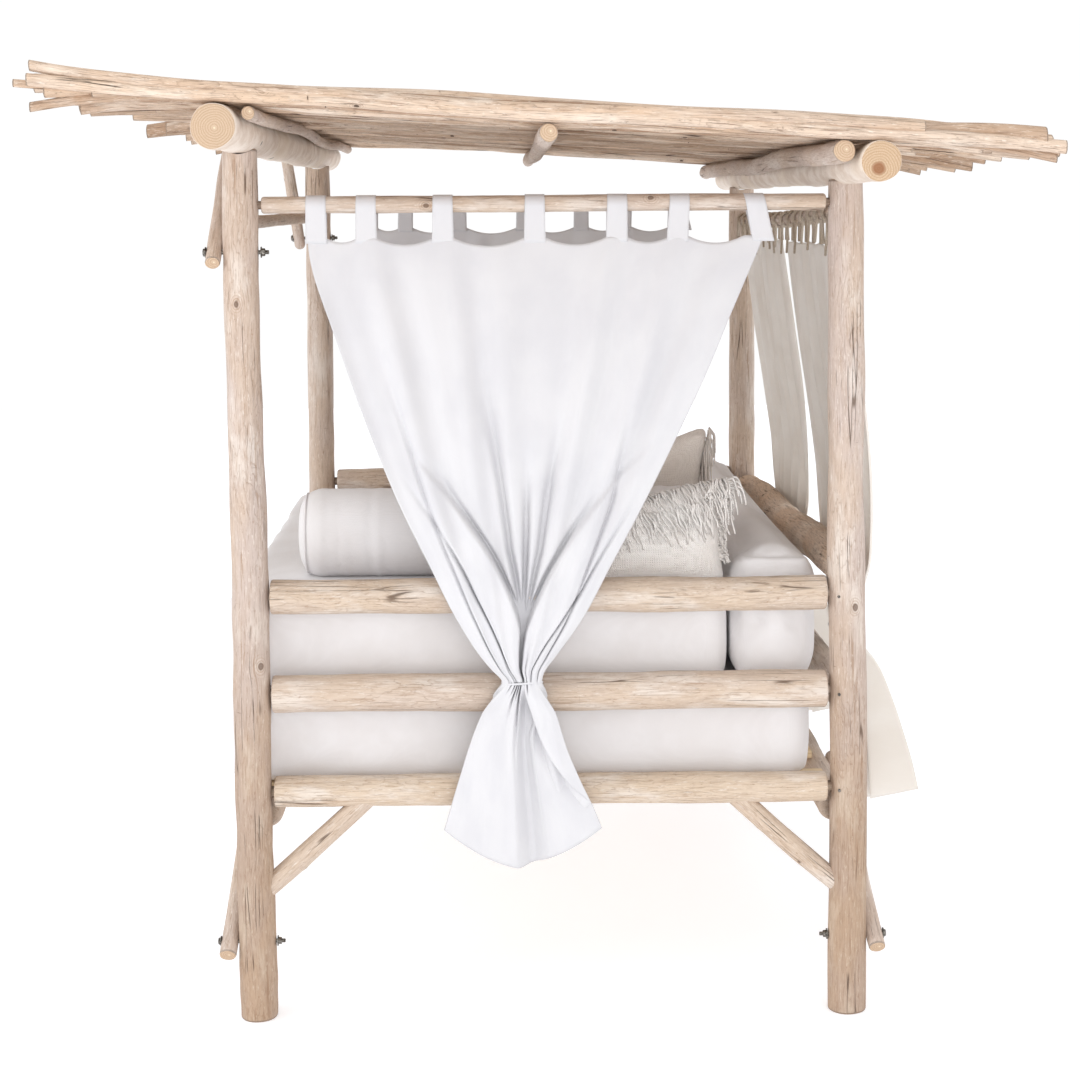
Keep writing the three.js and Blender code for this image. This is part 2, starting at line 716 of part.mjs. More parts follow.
function bedding() {
  const group = new THREE.Group();
  const mattressLength = postSpanLength - 2 * (postFootRadius + postBow + beddingEndGap);
  const frontY = -postSpanDepth / 2 - mattressOverhang;
  const railFace = postSpanDepth / 2 + backRailOutset
    - Math.max(backTopRailRadius, backMiddleRailRadius) * railFullShare;
  const backY = railFace - backCushionGap;
  const cushionFrontY = backY - backCushionDepth;
  const upperBackY = cushionFrontY - cushionSplitGap;
  const lowerZ = slatTop + seatGap;
  const upperZ = lowerZ + lowerMattressHeight + seatGap;
  const topZ = upperZ + upperMattressHeight;

  const block = (name, y0, y1, z, sizes) => {
    const shape = cushionShape({ length: mattressLength, width: y1 - y0, ...sizes });
    const mesh = piece(name, shape, canvas);
    mesh.position.set(0, (y0 + y1) / 2, z);
    return mesh;
  };
  const mattress = {
    corner: mattressCorner, drawIn: mattressDrawIn, crownRun: mattressCrownRun,
  };
  group.add(block('lower_mattress', frontY, backY, lowerZ,
    { ...mattress, height: lowerMattressHeight, crown: seatGap }));
  group.add(block('upper_mattress', frontY, upperBackY, upperZ,
    { ...mattress, height: upperMattressHeight, crown: mattressCrown }));
  group.add(block('back_cushion', cushionFrontY, backY, upperZ, {
    corner: cushionCorner, drawIn: cushionDrawIn, crownRun: cushionCrownRun,
    height: backCushionHeight, crown: cushionCrown,
  }));

  const bolsterX = mattressLength / 2 - bolsterFromEnd;
  const bolster = piece('bolster', bolsterShape(), canvas);
  bolster.position.set(bolsterX, frontY + bolsterFromFront, topZ + seatGap);
  group.add(bolster);

  const stand = (name, [length, height, thickness], lean, touching, side) => {
    const mesh = piece(name, pillowShape(length, height, thickness), wovenCotton);
    const turn = THREE.MathUtils.degToRad(lean) * -side;
    const rise = (height / 2) * Math.cos(turn);
    const reach = thickness / 2 / Math.cos(turn) + (rise - bolsterRadius) * Math.tan(Math.abs(turn));
    mesh.rotation.y = turn;
    mesh.position.x = touching + side * (Math.max(reach, thickness / 2) + pillowGap);
    mesh.position.y = upperBackY - length / 2 - cushionSplitGap;
    mesh.updateMatrixWorld(true);
    const lowest = new THREE.Box3().setFromObject(mesh, true).min.z;
    mesh.position.z = topZ + seatGap - lowest;
    return mesh;
  };
  const frontSizes = [frontPillowLength, frontPillowHeight, frontPillowThickness];
  const rearSizes = [rearPillowLength, rearPillowHeight, rearPillowThickness];
  const nearSide = bolsterX + bolsterRadius;
  const farSide = bolsterX - bolsterRadius;
  group.add(stand('fringed_pillow', frontSizes, frontPillowLean, nearSide, 1));
  group.add(stand('square_pillow', rearSizes, rearPillowLean, farSide, -1));
  return group;
}

// The waist of a tied curtain, as shares of its length.
const waistTopShare = 0.7;
const waistEndShare = 0.725;

// Rows of a tied curtain from its top to its hem: height down the cloth, the left and the
// right edge from the middle, how far it stands off the rod's plane and how deep it folds.
const endCurtainRows = [
  { down: 0, left: -0.497, right: 0.503, off: 0, fold: 0.15 },
  { down: 0.06, left: -0.48, right: 0.47, off: 0.08, fold: 0.3 },
  { down: 0.19, left: -0.428, right: 0.405, off: 0.35, fold: 0.55 },
  { down: 0.41, left: -0.306, right: 0.254, off: 0.82, fold: 0.8 },
  { down: 0.6, left: -0.176, right: 0.111, off: 1, fold: 0.95 },
  { down: waistTopShare, left: null, right: null, off: 1, fold: 1 },
  { down: waistEndShare, left: null, right: null, off: 1, fold: 1 },
  { down: 0.83, left: -0.135, right: 0.072, off: 1, fold: 1 },
  { down: 0.94, left: -0.205, right: 0.14, off: 1, fold: 1 },
  { down: 1, left: -0.225, right: 0.158, off: 1, fold: 1 },
];

// The back curtains hang full as far as the top rail, and their hems open in deep folds.
const backCurtainRows = [
  { down: 0, left: -0.497, right: 0.503, off: 0, fold: 0.15 },
  { down: 0.06, left: -0.495, right: 0.497, off: 0.12, fold: 0.3 },
  { down: 0.19, left: -0.49, right: 0.49, off: 0.4, fold: 0.5 },
  { down: 0.41, left: -0.475, right: 0.475, off: 0.85, fold: 0.75 },
  { down: 0.55, left: -0.42, right: 0.405, off: 1, fold: 0.9 },
  { down: 0.63, left: -0.27, right: 0.235, off: 1, fold: 0.95 },
  { down: waistTopShare, left: null, right: null, off: 1, fold: 1 },
  { down: waistEndShare, left: null, right: null, off: 1, fold: 1 },
  { down: 0.83, left: -0.135, right: 0.072, off: 1, fold: 1.7 },
  { down: 0.94, left: -0.205, right: 0.14, off: 1, fold: 3.2 },
  { down: 1, left: -0.225, right: 0.158, off: 1, fold: 3.8 },
];
const bundleShare = 0.65; // how round the gathered folds are across the waist
const waistCentreShare = -0.035;

// The cloth of one curtain. The place function turns distances along the rod, out from it
// and up into a point.
function clothShape(sizes) {
  const { place, width, centre, top, length, standOff, folds, columns } = sizes;
  const { billow, flare, rows: rowShares } = sizes;
  const slackShare = 0.35;
  const sheet = (side) => rowShares.map((row) => {
    const waist = row.left === null;
    const left = waist ? waistCentreShare * width - waistWidth / 2 : row.left * width;
    const right = waist ? waistCentreShare * width + waistWidth / 2 : row.right * width;
    return Array.from({ length: columns + 1 }, (_, i) => {
      const u = i / columns;
      const bundle = Math.max(0, 1 - (2 * u - 1) ** 2) ** bundleShare;
      const loosenessShare = waist ? bundle : Math.max(bundle, slackShare);
      const fold = foldDepth * row.fold * loosenessShare * Math.cos(2 * Math.PI * folds * u);
      const belowShare = Math.max(0, (row.down - waistEndShare) / (1 - waistEndShare));
      const aboveShare = Math.min(1, row.down / waistTopShare);
      const swing = billow * Math.sin(Math.PI * aboveShare) + flare * belowShare;
      const off = row.off * standOff + swing + fold + (side * clothThickness) / 2;
      const drop = hemDrop * (1 - (2 * u - 1) ** 2 * 2) * belowShare ** 2;
      const z = top - row.down * length - drop;
      return place(centre + left + (right - left) * u, off, z);
    });
  });
  const rows = rowShares.length;
  const points = [...sheet(1).flat(), ...sheet(-1).flat()];
  const at = (side, i, j) => (side * rows + j) * (columns + 1) + i;
  const faces = [];
  const quad = (a, b, c, d) => faces.push([a, b, c], [a, c, d]);
  for (let j = 0; j + 1 < rows; j += 1) {
    for (let i = 0; i < columns; i += 1) {
      quad(at(0, i, j), at(0, i + 1, j), at(0, i + 1, j + 1), at(0, i, j + 1));
      quad(at(1, i, j), at(1, i, j + 1), at(1, i + 1, j + 1), at(1, i + 1, j));
    }
    quad(at(0, 0, j), at(0, 0, j + 1), at(1, 0, j + 1), at(1, 0, j));
    quad(at(0, columns, j + 1), at(0, columns, j), at(1, columns, j), at(1, columns, j + 1));
  }
  for (let i = 0; i < columns; i += 1) {
    quad(at(0, i + 1, 0), at(0, i, 0), at(1, i, 0), at(1, i + 1, 0));
    quad(at(0, i, rows - 1), at(0, i + 1, rows - 1), at(1, i + 1, rows - 1), at(1, i, rows - 1));
  }
  return closedGeometry(points, faces);
}

// A flat loop of cloth that goes up from the hem, round the rod and down again.
function tabShape({ place, at, width, rodHeight, rodRadius, hem }) {
  const inner = rodRadius + tabClearance;
  const arcHeight = rodHeight - tabClearance + seatGap;
  const outline = (size, foot, footHalf) => {
    const points = [new THREE.Vector2(-footHalf, foot), new THREE.Vector2(footHalf, foot)];
    for (let step = 0; step <= tabArcSteps; step += 1) {
      const angle = (step / tabArcSteps) * Math.PI;
      points.push(new THREE.Vector2(size * Math.cos(angle), arcHeight + size * Math.sin(angle)));
    }
    return points;
  };
  const arcReach = 1 / Math.cos(Math.PI / (tabArcSteps * 2));
  const outer = (inner + tabThickness) * arcReach;
  const shape = new THREE.Shape(outline(outer, hem - tabOverlap, clothThickness / 2 + seatGap));
  const slotHeight = hem + tabThickness;
  shape.holes.push(new THREE.Path(outline(inner * arcReach, slotHeight, seatGap)));
  const strap = new THREE.ExtrudeGeometry(shape, { depth: width, bevelEnabled: false });
  const plain = mergeVertices(strap.deleteAttribute('normal').deleteAttribute('uv'));
  const position = plain.attributes.position;
  const points = Array.from({ length: position.count }, (_, i) =>
    place(at - width / 2 + position.getZ(i), position.getX(i), position.getY(i)));
  const index = Array.from(plain.index.array);
  const faces = Array.from({ length: index.length / 3 }, (_, i) => index.slice(i * 3, i * 3 + 3));
  return closedGeometry(points, faces);
}

// The band that gathers a curtain at its waist.
function tieShape({ place, width, centre, top, length, standOff }) {
  const halfCloth = clothThickness / 2;
  const deep = foldDepth + halfCloth + seatGap * 2;
  const wide = waistWidth / 2 / Math.sqrt(1 - (halfCloth / deep) ** 2) + seatGap * 2;
  const middle = centre + waistCentreShare * width;
  const z = top - ((waistTopShare + waistEndShare) / 2) * length;
  const section = [[0, -1], [1, -1], [1, 1], [0, 1]];
  const reach = 1 / Math.cos(Math.PI / tieSteps);
  const points = [];
  const faces = [];
  for (let i = 0; i < tieSteps; i += 1) {
    const angle = (i / tieSteps) * 2 * Math.PI;
    for (const [outward, up] of section) {
      points.push(place(
        middle + (wide * reach + outward * tieThickness) * Math.cos(angle),
        standOff + (deep * reach + outward * tieThickness) * Math.sin(angle),
        z + (up * tieHeight) / 2,
      ));
    }
    for (let side = 0; side < 4; side += 1) {
      const next = (side + 1) % 4;
      const [a, b] = [i * 4 + side, i * 4 + next];
      const ahead = ((i + 1) % tieSteps) * 4;
      const [c, d] = [ahead + next, ahead + side];
      faces.push([a, b, c], [a, c, d]);
    }
  }
  return closedGeometry(points, faces);
}

// A curtain with its loops round the rod, and its tie.
function curtain(name, sizes) {
  const { loops, loopSize, width, centre, top } = sizes;
  const straps = Array.from({ length: loops }, (_, i) => {
    const [hemShare] = sizes.rows;
    const first = centre + hemShare.left * width + loopSize / 2;
    const last = centre + hemShare.right * width - loopSize / 2;
    const at = THREE.MathUtils.lerp(first, last, i / (loops - 1));
    return tabShape({ ...sizes, at, width: loopSize, hem: top });
  });
  const cloth = join([clothShape(sizes), ...straps]);
  return [piece(name, cloth, voile), piece(`${name}_tie`, tieShape(sizes), voile)];
}

function curtains() {
  const folds = clothThickness / 2 + foldDepth + curtainClearance + seatGap;
  const thickestEndRail = Math.max(lowerEndRailRadius, middleEndRailRadius, topEndRailRadius);
  const thickestBackRail = Math.max(backTopRailRadius, backMiddleRailRadius);
  const endCurtains = ends.flatMap((end) => curtain(`${end.name}_end_curtain`, {
    place: (along, out, up) =>
      new THREE.Vector3(end.side * (postSpanLength / 2 + out), along, up),
    rows: endCurtainRows,
    width: endCurtainWidth,
    centre: endCurtainCentre,
    top: endCurtainTop,
    length: endCurtainLength,
    standOff: thickestEndRail * railFullShare + folds,
    billow: 0,
    flare: 0,
    folds: endCurtainFolds,
    columns: endCurtainColumns,
    loops: tabCount,
    loopSize: tabWidth,
    rodHeight: endRodHeight,
    rodRadius: endRodRadius * railFullShare,
  }));
  const backCurtains = ends.flatMap((end) => curtain(`back_${end.name}_curtain`, {
    place: (along, out, up) =>
      new THREE.Vector3(end.side * along, postSpanDepth / 2 + out, up),
    rows: backCurtainRows,
    width: backCurtainWidth,
    centre: backCurtainCentre,
    top: backCurtainTop,
    length: backCurtainLength,
    standOff: backRailOutset + thickestBackRail * railFullShare + folds,
    billow: backBillow,
    flare: backHemFlare,
    folds: backCurtainFolds,
    columns: backCurtainColumns,
    loops: loopCount,
    loopSize: loopWidth,
    rodHeight: sideRodHeight,
    rodRadius: sideRodRadius * railFullShare,
  }));
  return [...endCurtains, ...backCurtains];
}

const daybed = new THREE.Group();
daybed.name = 'daybed';
for (const end of ends) daybed.add(...endRails(end));
daybed.add(...sideRails());
for (const corner of corners) {
  daybed.add(endBrace(corner), ...lowBrace(corner));
  if (corner.front.name === 'front') daybed.add(...kneeBrace(corner));
  daybed.add(post(corner));
}
for (const front of fronts) daybed.add(piece(`${front.name}_beam`, beamShape(front), greyBark));
daybed.add(roof(), slattedBase(), bedding(), ...curtains());

export default daybed;
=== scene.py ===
import bpy
import numpy as np
from mathutils import Matrix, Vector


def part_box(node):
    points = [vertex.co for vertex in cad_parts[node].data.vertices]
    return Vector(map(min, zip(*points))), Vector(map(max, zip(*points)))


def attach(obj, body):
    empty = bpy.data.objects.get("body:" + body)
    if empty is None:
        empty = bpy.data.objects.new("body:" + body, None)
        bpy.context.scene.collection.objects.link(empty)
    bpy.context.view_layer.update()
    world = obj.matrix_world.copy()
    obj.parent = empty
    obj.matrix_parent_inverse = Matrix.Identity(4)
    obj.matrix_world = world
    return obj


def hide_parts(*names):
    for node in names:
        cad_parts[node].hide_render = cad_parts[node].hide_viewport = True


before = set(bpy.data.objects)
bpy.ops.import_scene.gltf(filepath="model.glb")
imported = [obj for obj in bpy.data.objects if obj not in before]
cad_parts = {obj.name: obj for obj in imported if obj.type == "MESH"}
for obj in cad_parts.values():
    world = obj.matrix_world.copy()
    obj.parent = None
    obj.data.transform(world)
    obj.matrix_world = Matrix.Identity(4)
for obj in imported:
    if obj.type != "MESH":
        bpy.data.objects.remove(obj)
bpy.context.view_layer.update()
print("frame loaded")


def boxOf(node):
    low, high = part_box(node)
    return np.array(low), np.array(high)


view = {
    "place": (5.8147, -0.1085, 1.9639),
    "yaw": 0.0200,  # radians, towards +Y
    "pitch": 0.1218,  # radians, downwards
    "roll": -0.0057,
    "lens": 67.96,  # mm on a 36 mm sensor
    "shiftY": -0.08,
}


def placeCamera():
    cosYaw, sinYaw = np.cos(view["yaw"]), np.sin(view["yaw"])
    cosPitch, sinPitch = np.cos(view["pitch"]), np.sin(view["pitch"])
    ahead = np.array([-cosPitch * cosYaw, cosPitch * sinYaw, -sinPitch])
    right = np.cross(ahead, [0, 0, 1])
    right /= np.linalg.norm(right)
    up = np.cross(right, ahead)
    c, s = np.cos(view["roll"]), np.sin(view["roll"])
    right, up = c * right + s * up, c * up - s * right
    lens = bpy.data.cameras.new("camera")
    lens.sensor_width = 36
    lens.lens = view["lens"]
    lens.shift_y = view["shiftY"]
    lens.clip_end = 100
    camera = bpy.data.objects.new("camera", lens)
    turn = Matrix(np.column_stack([right, up, -ahead]).tolist())
    camera.matrix_world = Matrix.Translation(view["place"]) @ turn.to_4x4()
    bpy.context.scene.collection.objects.link(camera)
    bpy.context.scene.camera = camera


placeCamera()
print("camera placed")


# An sRGB hex value as linear red, green, blue and alpha.
def hexColour(code):
    value = np.array([int(code[i:i + 2], 16) for i in (1, 3, 5)]) / 255
    linear = np.where(value <= 0.04045, value / 12.92, ((value + 0.055) / 1.055) ** 2.4)
    return (*linear.tolist(), 1.0)


# Adds one node and returns an output of it. Each value is for an attribute of the node or for an
# input, by name or number, and an input takes a socket, a number or a hex code.
def addNode(tree, kind, values, output=0):
    node = tree.nodes.new(f"ShaderNode{kind}")
    for key, value in values.items():
        if isinstance(key, str) and hasattr(node, key):
            setattr(node, key, value)
        elif hasattr(value, "is_linked"):
            tree.links.new(value, node.inputs[key])
        else:
            node.inputs[key].default_value = hexColour(value) if isinstance(value, str) else value
    return node.outputs[output]


def newMaterial(name, roughness, sheen=0.0):
    material = bpy.data.materials.new(name)
    material.use_nodes = True
    tree = material.node_tree
    surface = tree.nodes["Principled BSDF"]
    surface.inputs["Roughness"].default_value = roughness
    surface.inputs["Sheen Weight"].default_value = sheen
    return material, tree, surface


# Joins the colour to the surface, and the height as a bump whose full step is so many metres.
def setSurface(tree, surface, colour, height, strength, distance):
    normal = addNode(tree, "Bump", {"Strength": strength, "Distance": distance, "Height": height})
    tree.links.new(colour, surface.inputs["Base Color"])
    tree.links.new(normal, surface.inputs["Normal"])


# The product of soft steps: each goes from 0 to 1 while its value goes from low to high.
def maskOf(tree, *steps):
    product = 1.0
    for value, low, high in steps:
        step = addNode(tree, "MapRange", {
            "interpolation_type": "SMOOTHSTEP", "Value": value, "From Min": low, "From Max": high})
        product = addNode(tree, "Math", {"operation": "MULTIPLY", 0: step, 1: product})
    return product


# Blends a colour towards another one by mask times share.
def tint(tree, colour, mask, share, towards, how="MIX"):
    amount = addNode(tree, "Math", {"operation": "MULTIPLY", 0: mask, 1: share})
    return addNode(tree, "Mix", {"data_type": "RGBA", "blend_type": how, 0: amount, 6: colour, 7: towards}, 2)


# The sum of each value times its weight, which may be a socket too.
def weigh(tree, *parts):
    total = 0.0
    for value, weight in parts:
        total = addNode(tree, "Math", {"operation": "MULTIPLY_ADD", 0: value, 1: weight, 2: total})
    return total


# sin(value times turns plus shift)
def ripple(tree, value, turns, shift=0.0):
    angle = addNode(tree, "Math", {"operation": "MULTIPLY_ADD", 0: value, 1: turns, 2: shift})
    return addNode(tree, "Math", {"operation": "SINE", 0: angle})


# Noise over a place that is stretched by one scale, or by one for each axis.
def noiseAt(tree, place, scale, detail=3.0, rough=0.5):
    stretched = addNode(tree, "VectorMath", {
        "operation": "MULTIPLY", 0: place, 1: np.full(3, scale, float).tolist()})
    return addNode(tree, "TexNoise", {
        "Vector": stretched, "Scale": 1.0, "Detail": detail, "Roughness": rough})


# Noise in a log's own place, with its scale across the grain and along it.
def grainNoise(tree, place, across, along, detail, rough=0.6):
    return noiseAt(tree, place, (across, across, along), detail, rough)


# The length of a vector plus noise times the amount, so that rings round a middle aren't true.
def unevenReach(tree, vector, noise, amount):
    length = addNode(tree, "VectorMath", {"operation": "LENGTH", 0: vector}, "Value")
    return weigh(tree, (length, 1.0), (noise, amount))


# Debarked branch wood, left unfinished. The grain follows the log through the grainPlace
# attribute: across the log and along it, in metres. The eye sees streaks about 12 mm wide and 200
# mm long, knots with dark eyes, and fine drying cracks.
def peeledWood(name, looks):
    material, tree, surface = newMaterial(name, looks["roughness"])
    place = addNode(tree, "Attribute", {"attribute_name": "grainPlace"}, "Vector")
    knot = addNode(tree, "Attribute", {"attribute_name": "knotPlace"}, "Vector")
    tone, lowDarkening, jointShade = (addNode(tree, "Attribute", {"attribute_name": key}, "Fac")
                         for key in ("tone", "lowDarkening", "jointShade"))

    def noise(*scales):
        return grainNoise(tree, place, *scales)

    streaks, fibres = noise(85, 4.5, 5.0), noise(520, 16, 3.0)
    marks = {
        "warm": maskOf(tree, (noise(9, 3.0, 3.0), 0.38, 0.62)),
        "pale": maskOf(tree, (noise(16, 5, 4.0), 0.5, 0.68)),
        "streak": maskOf(tree, (streaks, 0.56, 0.74)),
        "fibre": maskOf(tree, (fibres, 0.48, 0.74)),
        "fleck": maskOf(tree, (noise(170, 48, 4.0, 0.75), 0.57, 0.72)),
        "scuff": maskOf(tree, (noise(260, 45, 3.0, 0.7), 0.55, 0.72)),
    }
    # worn growth layers show as thin lines that follow the swellings, like heights on a map
    layers = weigh(tree, (noise(20, 5.5, 4.0, 0.5), looks["layers"]))
    layers = addNode(tree, "Math", {"operation": "FRACT", 0: layers})
    figure = maskOf(tree, (layers, 0.30, 0.02), (noise(7, 3.1, 2.0), 0.42, 0.62),
                    (noise(120, 30, 2.0), 0.35, 0.6))
    # drying cracks: cell edges of long thin cells, kept only in some places
    thin = addNode(tree, "VectorMath", {"operation": "MULTIPLY", 0: place, 1: (46, 46, 1.3)})
    cells = addNode(tree, "TexVoronoi", {"feature": "DISTANCE_TO_EDGE", "Vector": thin, "Scale": 1.0})
    cracks = maskOf(tree, (cells, 0.030, 0.004), (noise(13, 4.5, 2.0), 0.55, 0.63))
    # knots: rings and a dark eye round the nearest knot's middle
    reach = unevenReach(tree, knot, noiseAt(tree, place, 60, 2.0), 0.35)
    rings = maskOf(tree, (ripple(tree, reach, 14.0), 0.1, 1.0), (reach, 2.3, 0.9))
    eye = maskOf(tree, (reach, 0.85, 0.55))

    colour = tint(tree, looks["cool"], marks["warm"], 1.0, looks["warm"])
    colour = tint(tree, colour, tone, 1.0, looks["toned"])
    colour = tint(tree, colour, marks["pale"], looks["paleShare"], looks["pale"])
    colour = tint(tree, colour, marks["streak"], looks["streakShare"], looks["streak"])
    colour = tint(tree, colour, marks["fibre"], looks["fibreShare"], looks["fibre"])
    colour = tint(tree, colour, figure, looks["layerShare"], looks["streak"])
    colour = tint(tree, colour, marks["fleck"], looks["fleckShare"], looks["fleck"])
    colour = tint(tree, colour, marks["scuff"], looks["scuffShare"], looks["pale"])
    # each post is darker towards its foot, and painted shade in the crack colour darkens a rail's end where
    # it enters a post, standing in for the shadow in the gap
    colour = tint(tree, colour, lowDarkening, 1.0, looks["lowDarkening"], "MULTIPLY")
    colour = tint(tree, colour, jointShade, 1.0, looks["crackAndShade"])
    colour = tint(tree, colour, cracks, looks["crackShare"], looks["crackAndShade"])
    colour = tint(tree, colour, rings, 0.55, looks["streak"])
    colour = tint(tree, colour, eye, looks["eyeShare"], looks["eye"])
    relief = weigh(tree, (streaks, -0.5), (fibres, -0.35), (cracks, -1.4), (eye, -0.5), (layers, 0.35),
                   (figure, -0.35))
    setSurface(tree, surface, colour, relief, 0.8, looks["relief"])
    return material


# Thin smooth bark of a young trunk: grey, mottled, with pores of 2 to 3 mm that lie across the
# log and black scars at the knots.
def smoothBark(name, looks):
    material, tree, surface = newMaterial(name, 0.72)
    place = addNode(tree, "Attribute", {"attribute_name": "grainPlace"}, "Vector")
    knot = addNode(tree, "Attribute", {"attribute_name": "knotPlace"}, "Vector")
    mottle = grainNoise(tree, place, 22, 12, 5.0)
    warm = maskOf(tree, (grainNoise(tree, place, 5, 2.2, 2.0), 0.5, 0.66))
    pores = maskOf(tree, (grainNoise(tree, place, 170, 420, 2.0), 0.60, 0.72))
    reach = unevenReach(tree, knot, grainNoise(tree, place, 140, 140, 2.0), 0.7)
    scar = maskOf(tree, (reach, 1.05, 0.75))
    colour = tint(tree, looks["dark"], maskOf(tree, (mottle, 0.36, 0.64)), 1.0, looks["light"])
    colour = tint(tree, colour, warm, 0.6, looks["warm"])
    colour = tint(tree, colour, pores, 0.4, looks["pore"])
    colour = tint(tree, colour, scar, 0.85, looks["scar"])
    setSurface(tree, surface, colour, weigh(tree, (mottle, 0.8), (pores, -0.4), (scar, -0.8)), 0.6, 0.0015)
    return material


# A log sawn across: growth rings 5 to 6 mm apart round an off-centre pith, fine specks and a
# heart, which is brown on some logs.
def sawnEnd(name, looks):
    material, tree, surface = newMaterial(name, 0.8)
    place = addNode(tree, "Attribute", {"attribute_name": "grainPlace"}, "Vector")
    flat = addNode(tree, "VectorMath", {"operation": "MULTIPLY", 0: place, 1: (1, 1, 0)})
    fromPith = unevenReach(tree, flat, noiseAt(tree, place, 26, 2.0), 0.008)
    rings = maskOf(tree, (ripple(tree, fromPith, 2 * np.pi / looks["ringStep"]), 0.0, 1.0))
    heart = maskOf(tree, (fromPith, looks["heart"], looks["heart"] * 0.6))
    speck = noiseAt(tree, place, 420)
    colour = tint(tree, looks["light"], maskOf(tree, (speck, 0.3, 0.7)), 1.0, looks["mid"])
    colour = tint(tree, colour, rings, 0.45, looks["ring"])
    colour = tint(tree, colour, heart, 0.85, looks["heartColour"])
    setSurface(tree, surface, colour, weigh(tree, (speck, 1.0), (rings, -1.0)), 0.5, 0.0008)
    return material


# Plain woven cotton. Threads are drawn in the cloth's own UV map, laid out in metres, or on the
# three object axes where a piece was remeshed. Real threads are 0.4 to 0.8 mm apart, so they are
# drawn coarser, as looks['thread'] says, or they wouldn't show.
def wovenCloth(name, looks):
    material, tree, surface = newMaterial(name, looks["roughness"], looks["sheen"])
    surface.inputs["Sheen Roughness"].default_value = 0.5
    place = addNode(tree, "TexCoord", {}, "UV" if looks["byUv"] else "Object")
    uneven = noiseAt(tree, place, 55)
    shift = weigh(tree, (uneven, looks["slub"]))
    turns = 2 * np.pi / looks["thread"]
    x, y, z = (ripple(tree, addNode(tree, "SeparateXYZ", {0: place}, axis), turns, shift) for axis in "XYZ")
    weave = weigh(tree, (x, y)) if looks["byUv"] else weigh(tree, (x, y), (y, z), (x, z))
    cloud = maskOf(tree, (noiseAt(tree, place, 6, 4.0), 0.35, 0.65))
    gap = maskOf(tree, (weave, 0.1, -0.8))
    colour = tint(tree, looks["light"], cloud, 1.0, looks["dark"])
    colour = tint(tree, colour, gap, looks["gapShare"], looks["gap"])
    setSurface(tree, surface, colour, weigh(tree, (weave, 1.0), (uneven, 0.8)), looks["bump"], 0.0006)
    return material


# Zinc-plated steel of the bolts and screws, gone dull outdoors: grey, with darker blotches.
def zincSteel():
    material, tree, surface = newMaterial("zincSteel", 0.45)
    surface.inputs["Metallic"].default_value = 1.0
    blotch = noiseAt(tree, addNode(tree, "TexCoord", {}, "Object"), 240, 4.0)
    colour = tint(tree, "#8a8680", maskOf(tree, (blotch, 0.4, 0.65)), 1.0, "#4b4641")
    setSurface(tree, surface, colour, blotch, 0.3, 0.0004)
    return material


# Planed softwood slats. Grain runs along Y, the slats' length: latewood lines 6 to 10 mm apart
# across the board.
def sawnPine():
    material, tree, surface = newMaterial("sawnPine", 0.75)
    lines = noiseAt(tree, addNode(tree, "TexCoord", {}, "Object"), (110, 3.0, 60), 4.0)
    colour = tint(tree, "#e3cda9", maskOf(tree, (lines, 0.42, 0.66)), 1.0, "#c6a378")
    setSurface(tree, surface, colour, lines, 0.4, 0.0006)
    return material


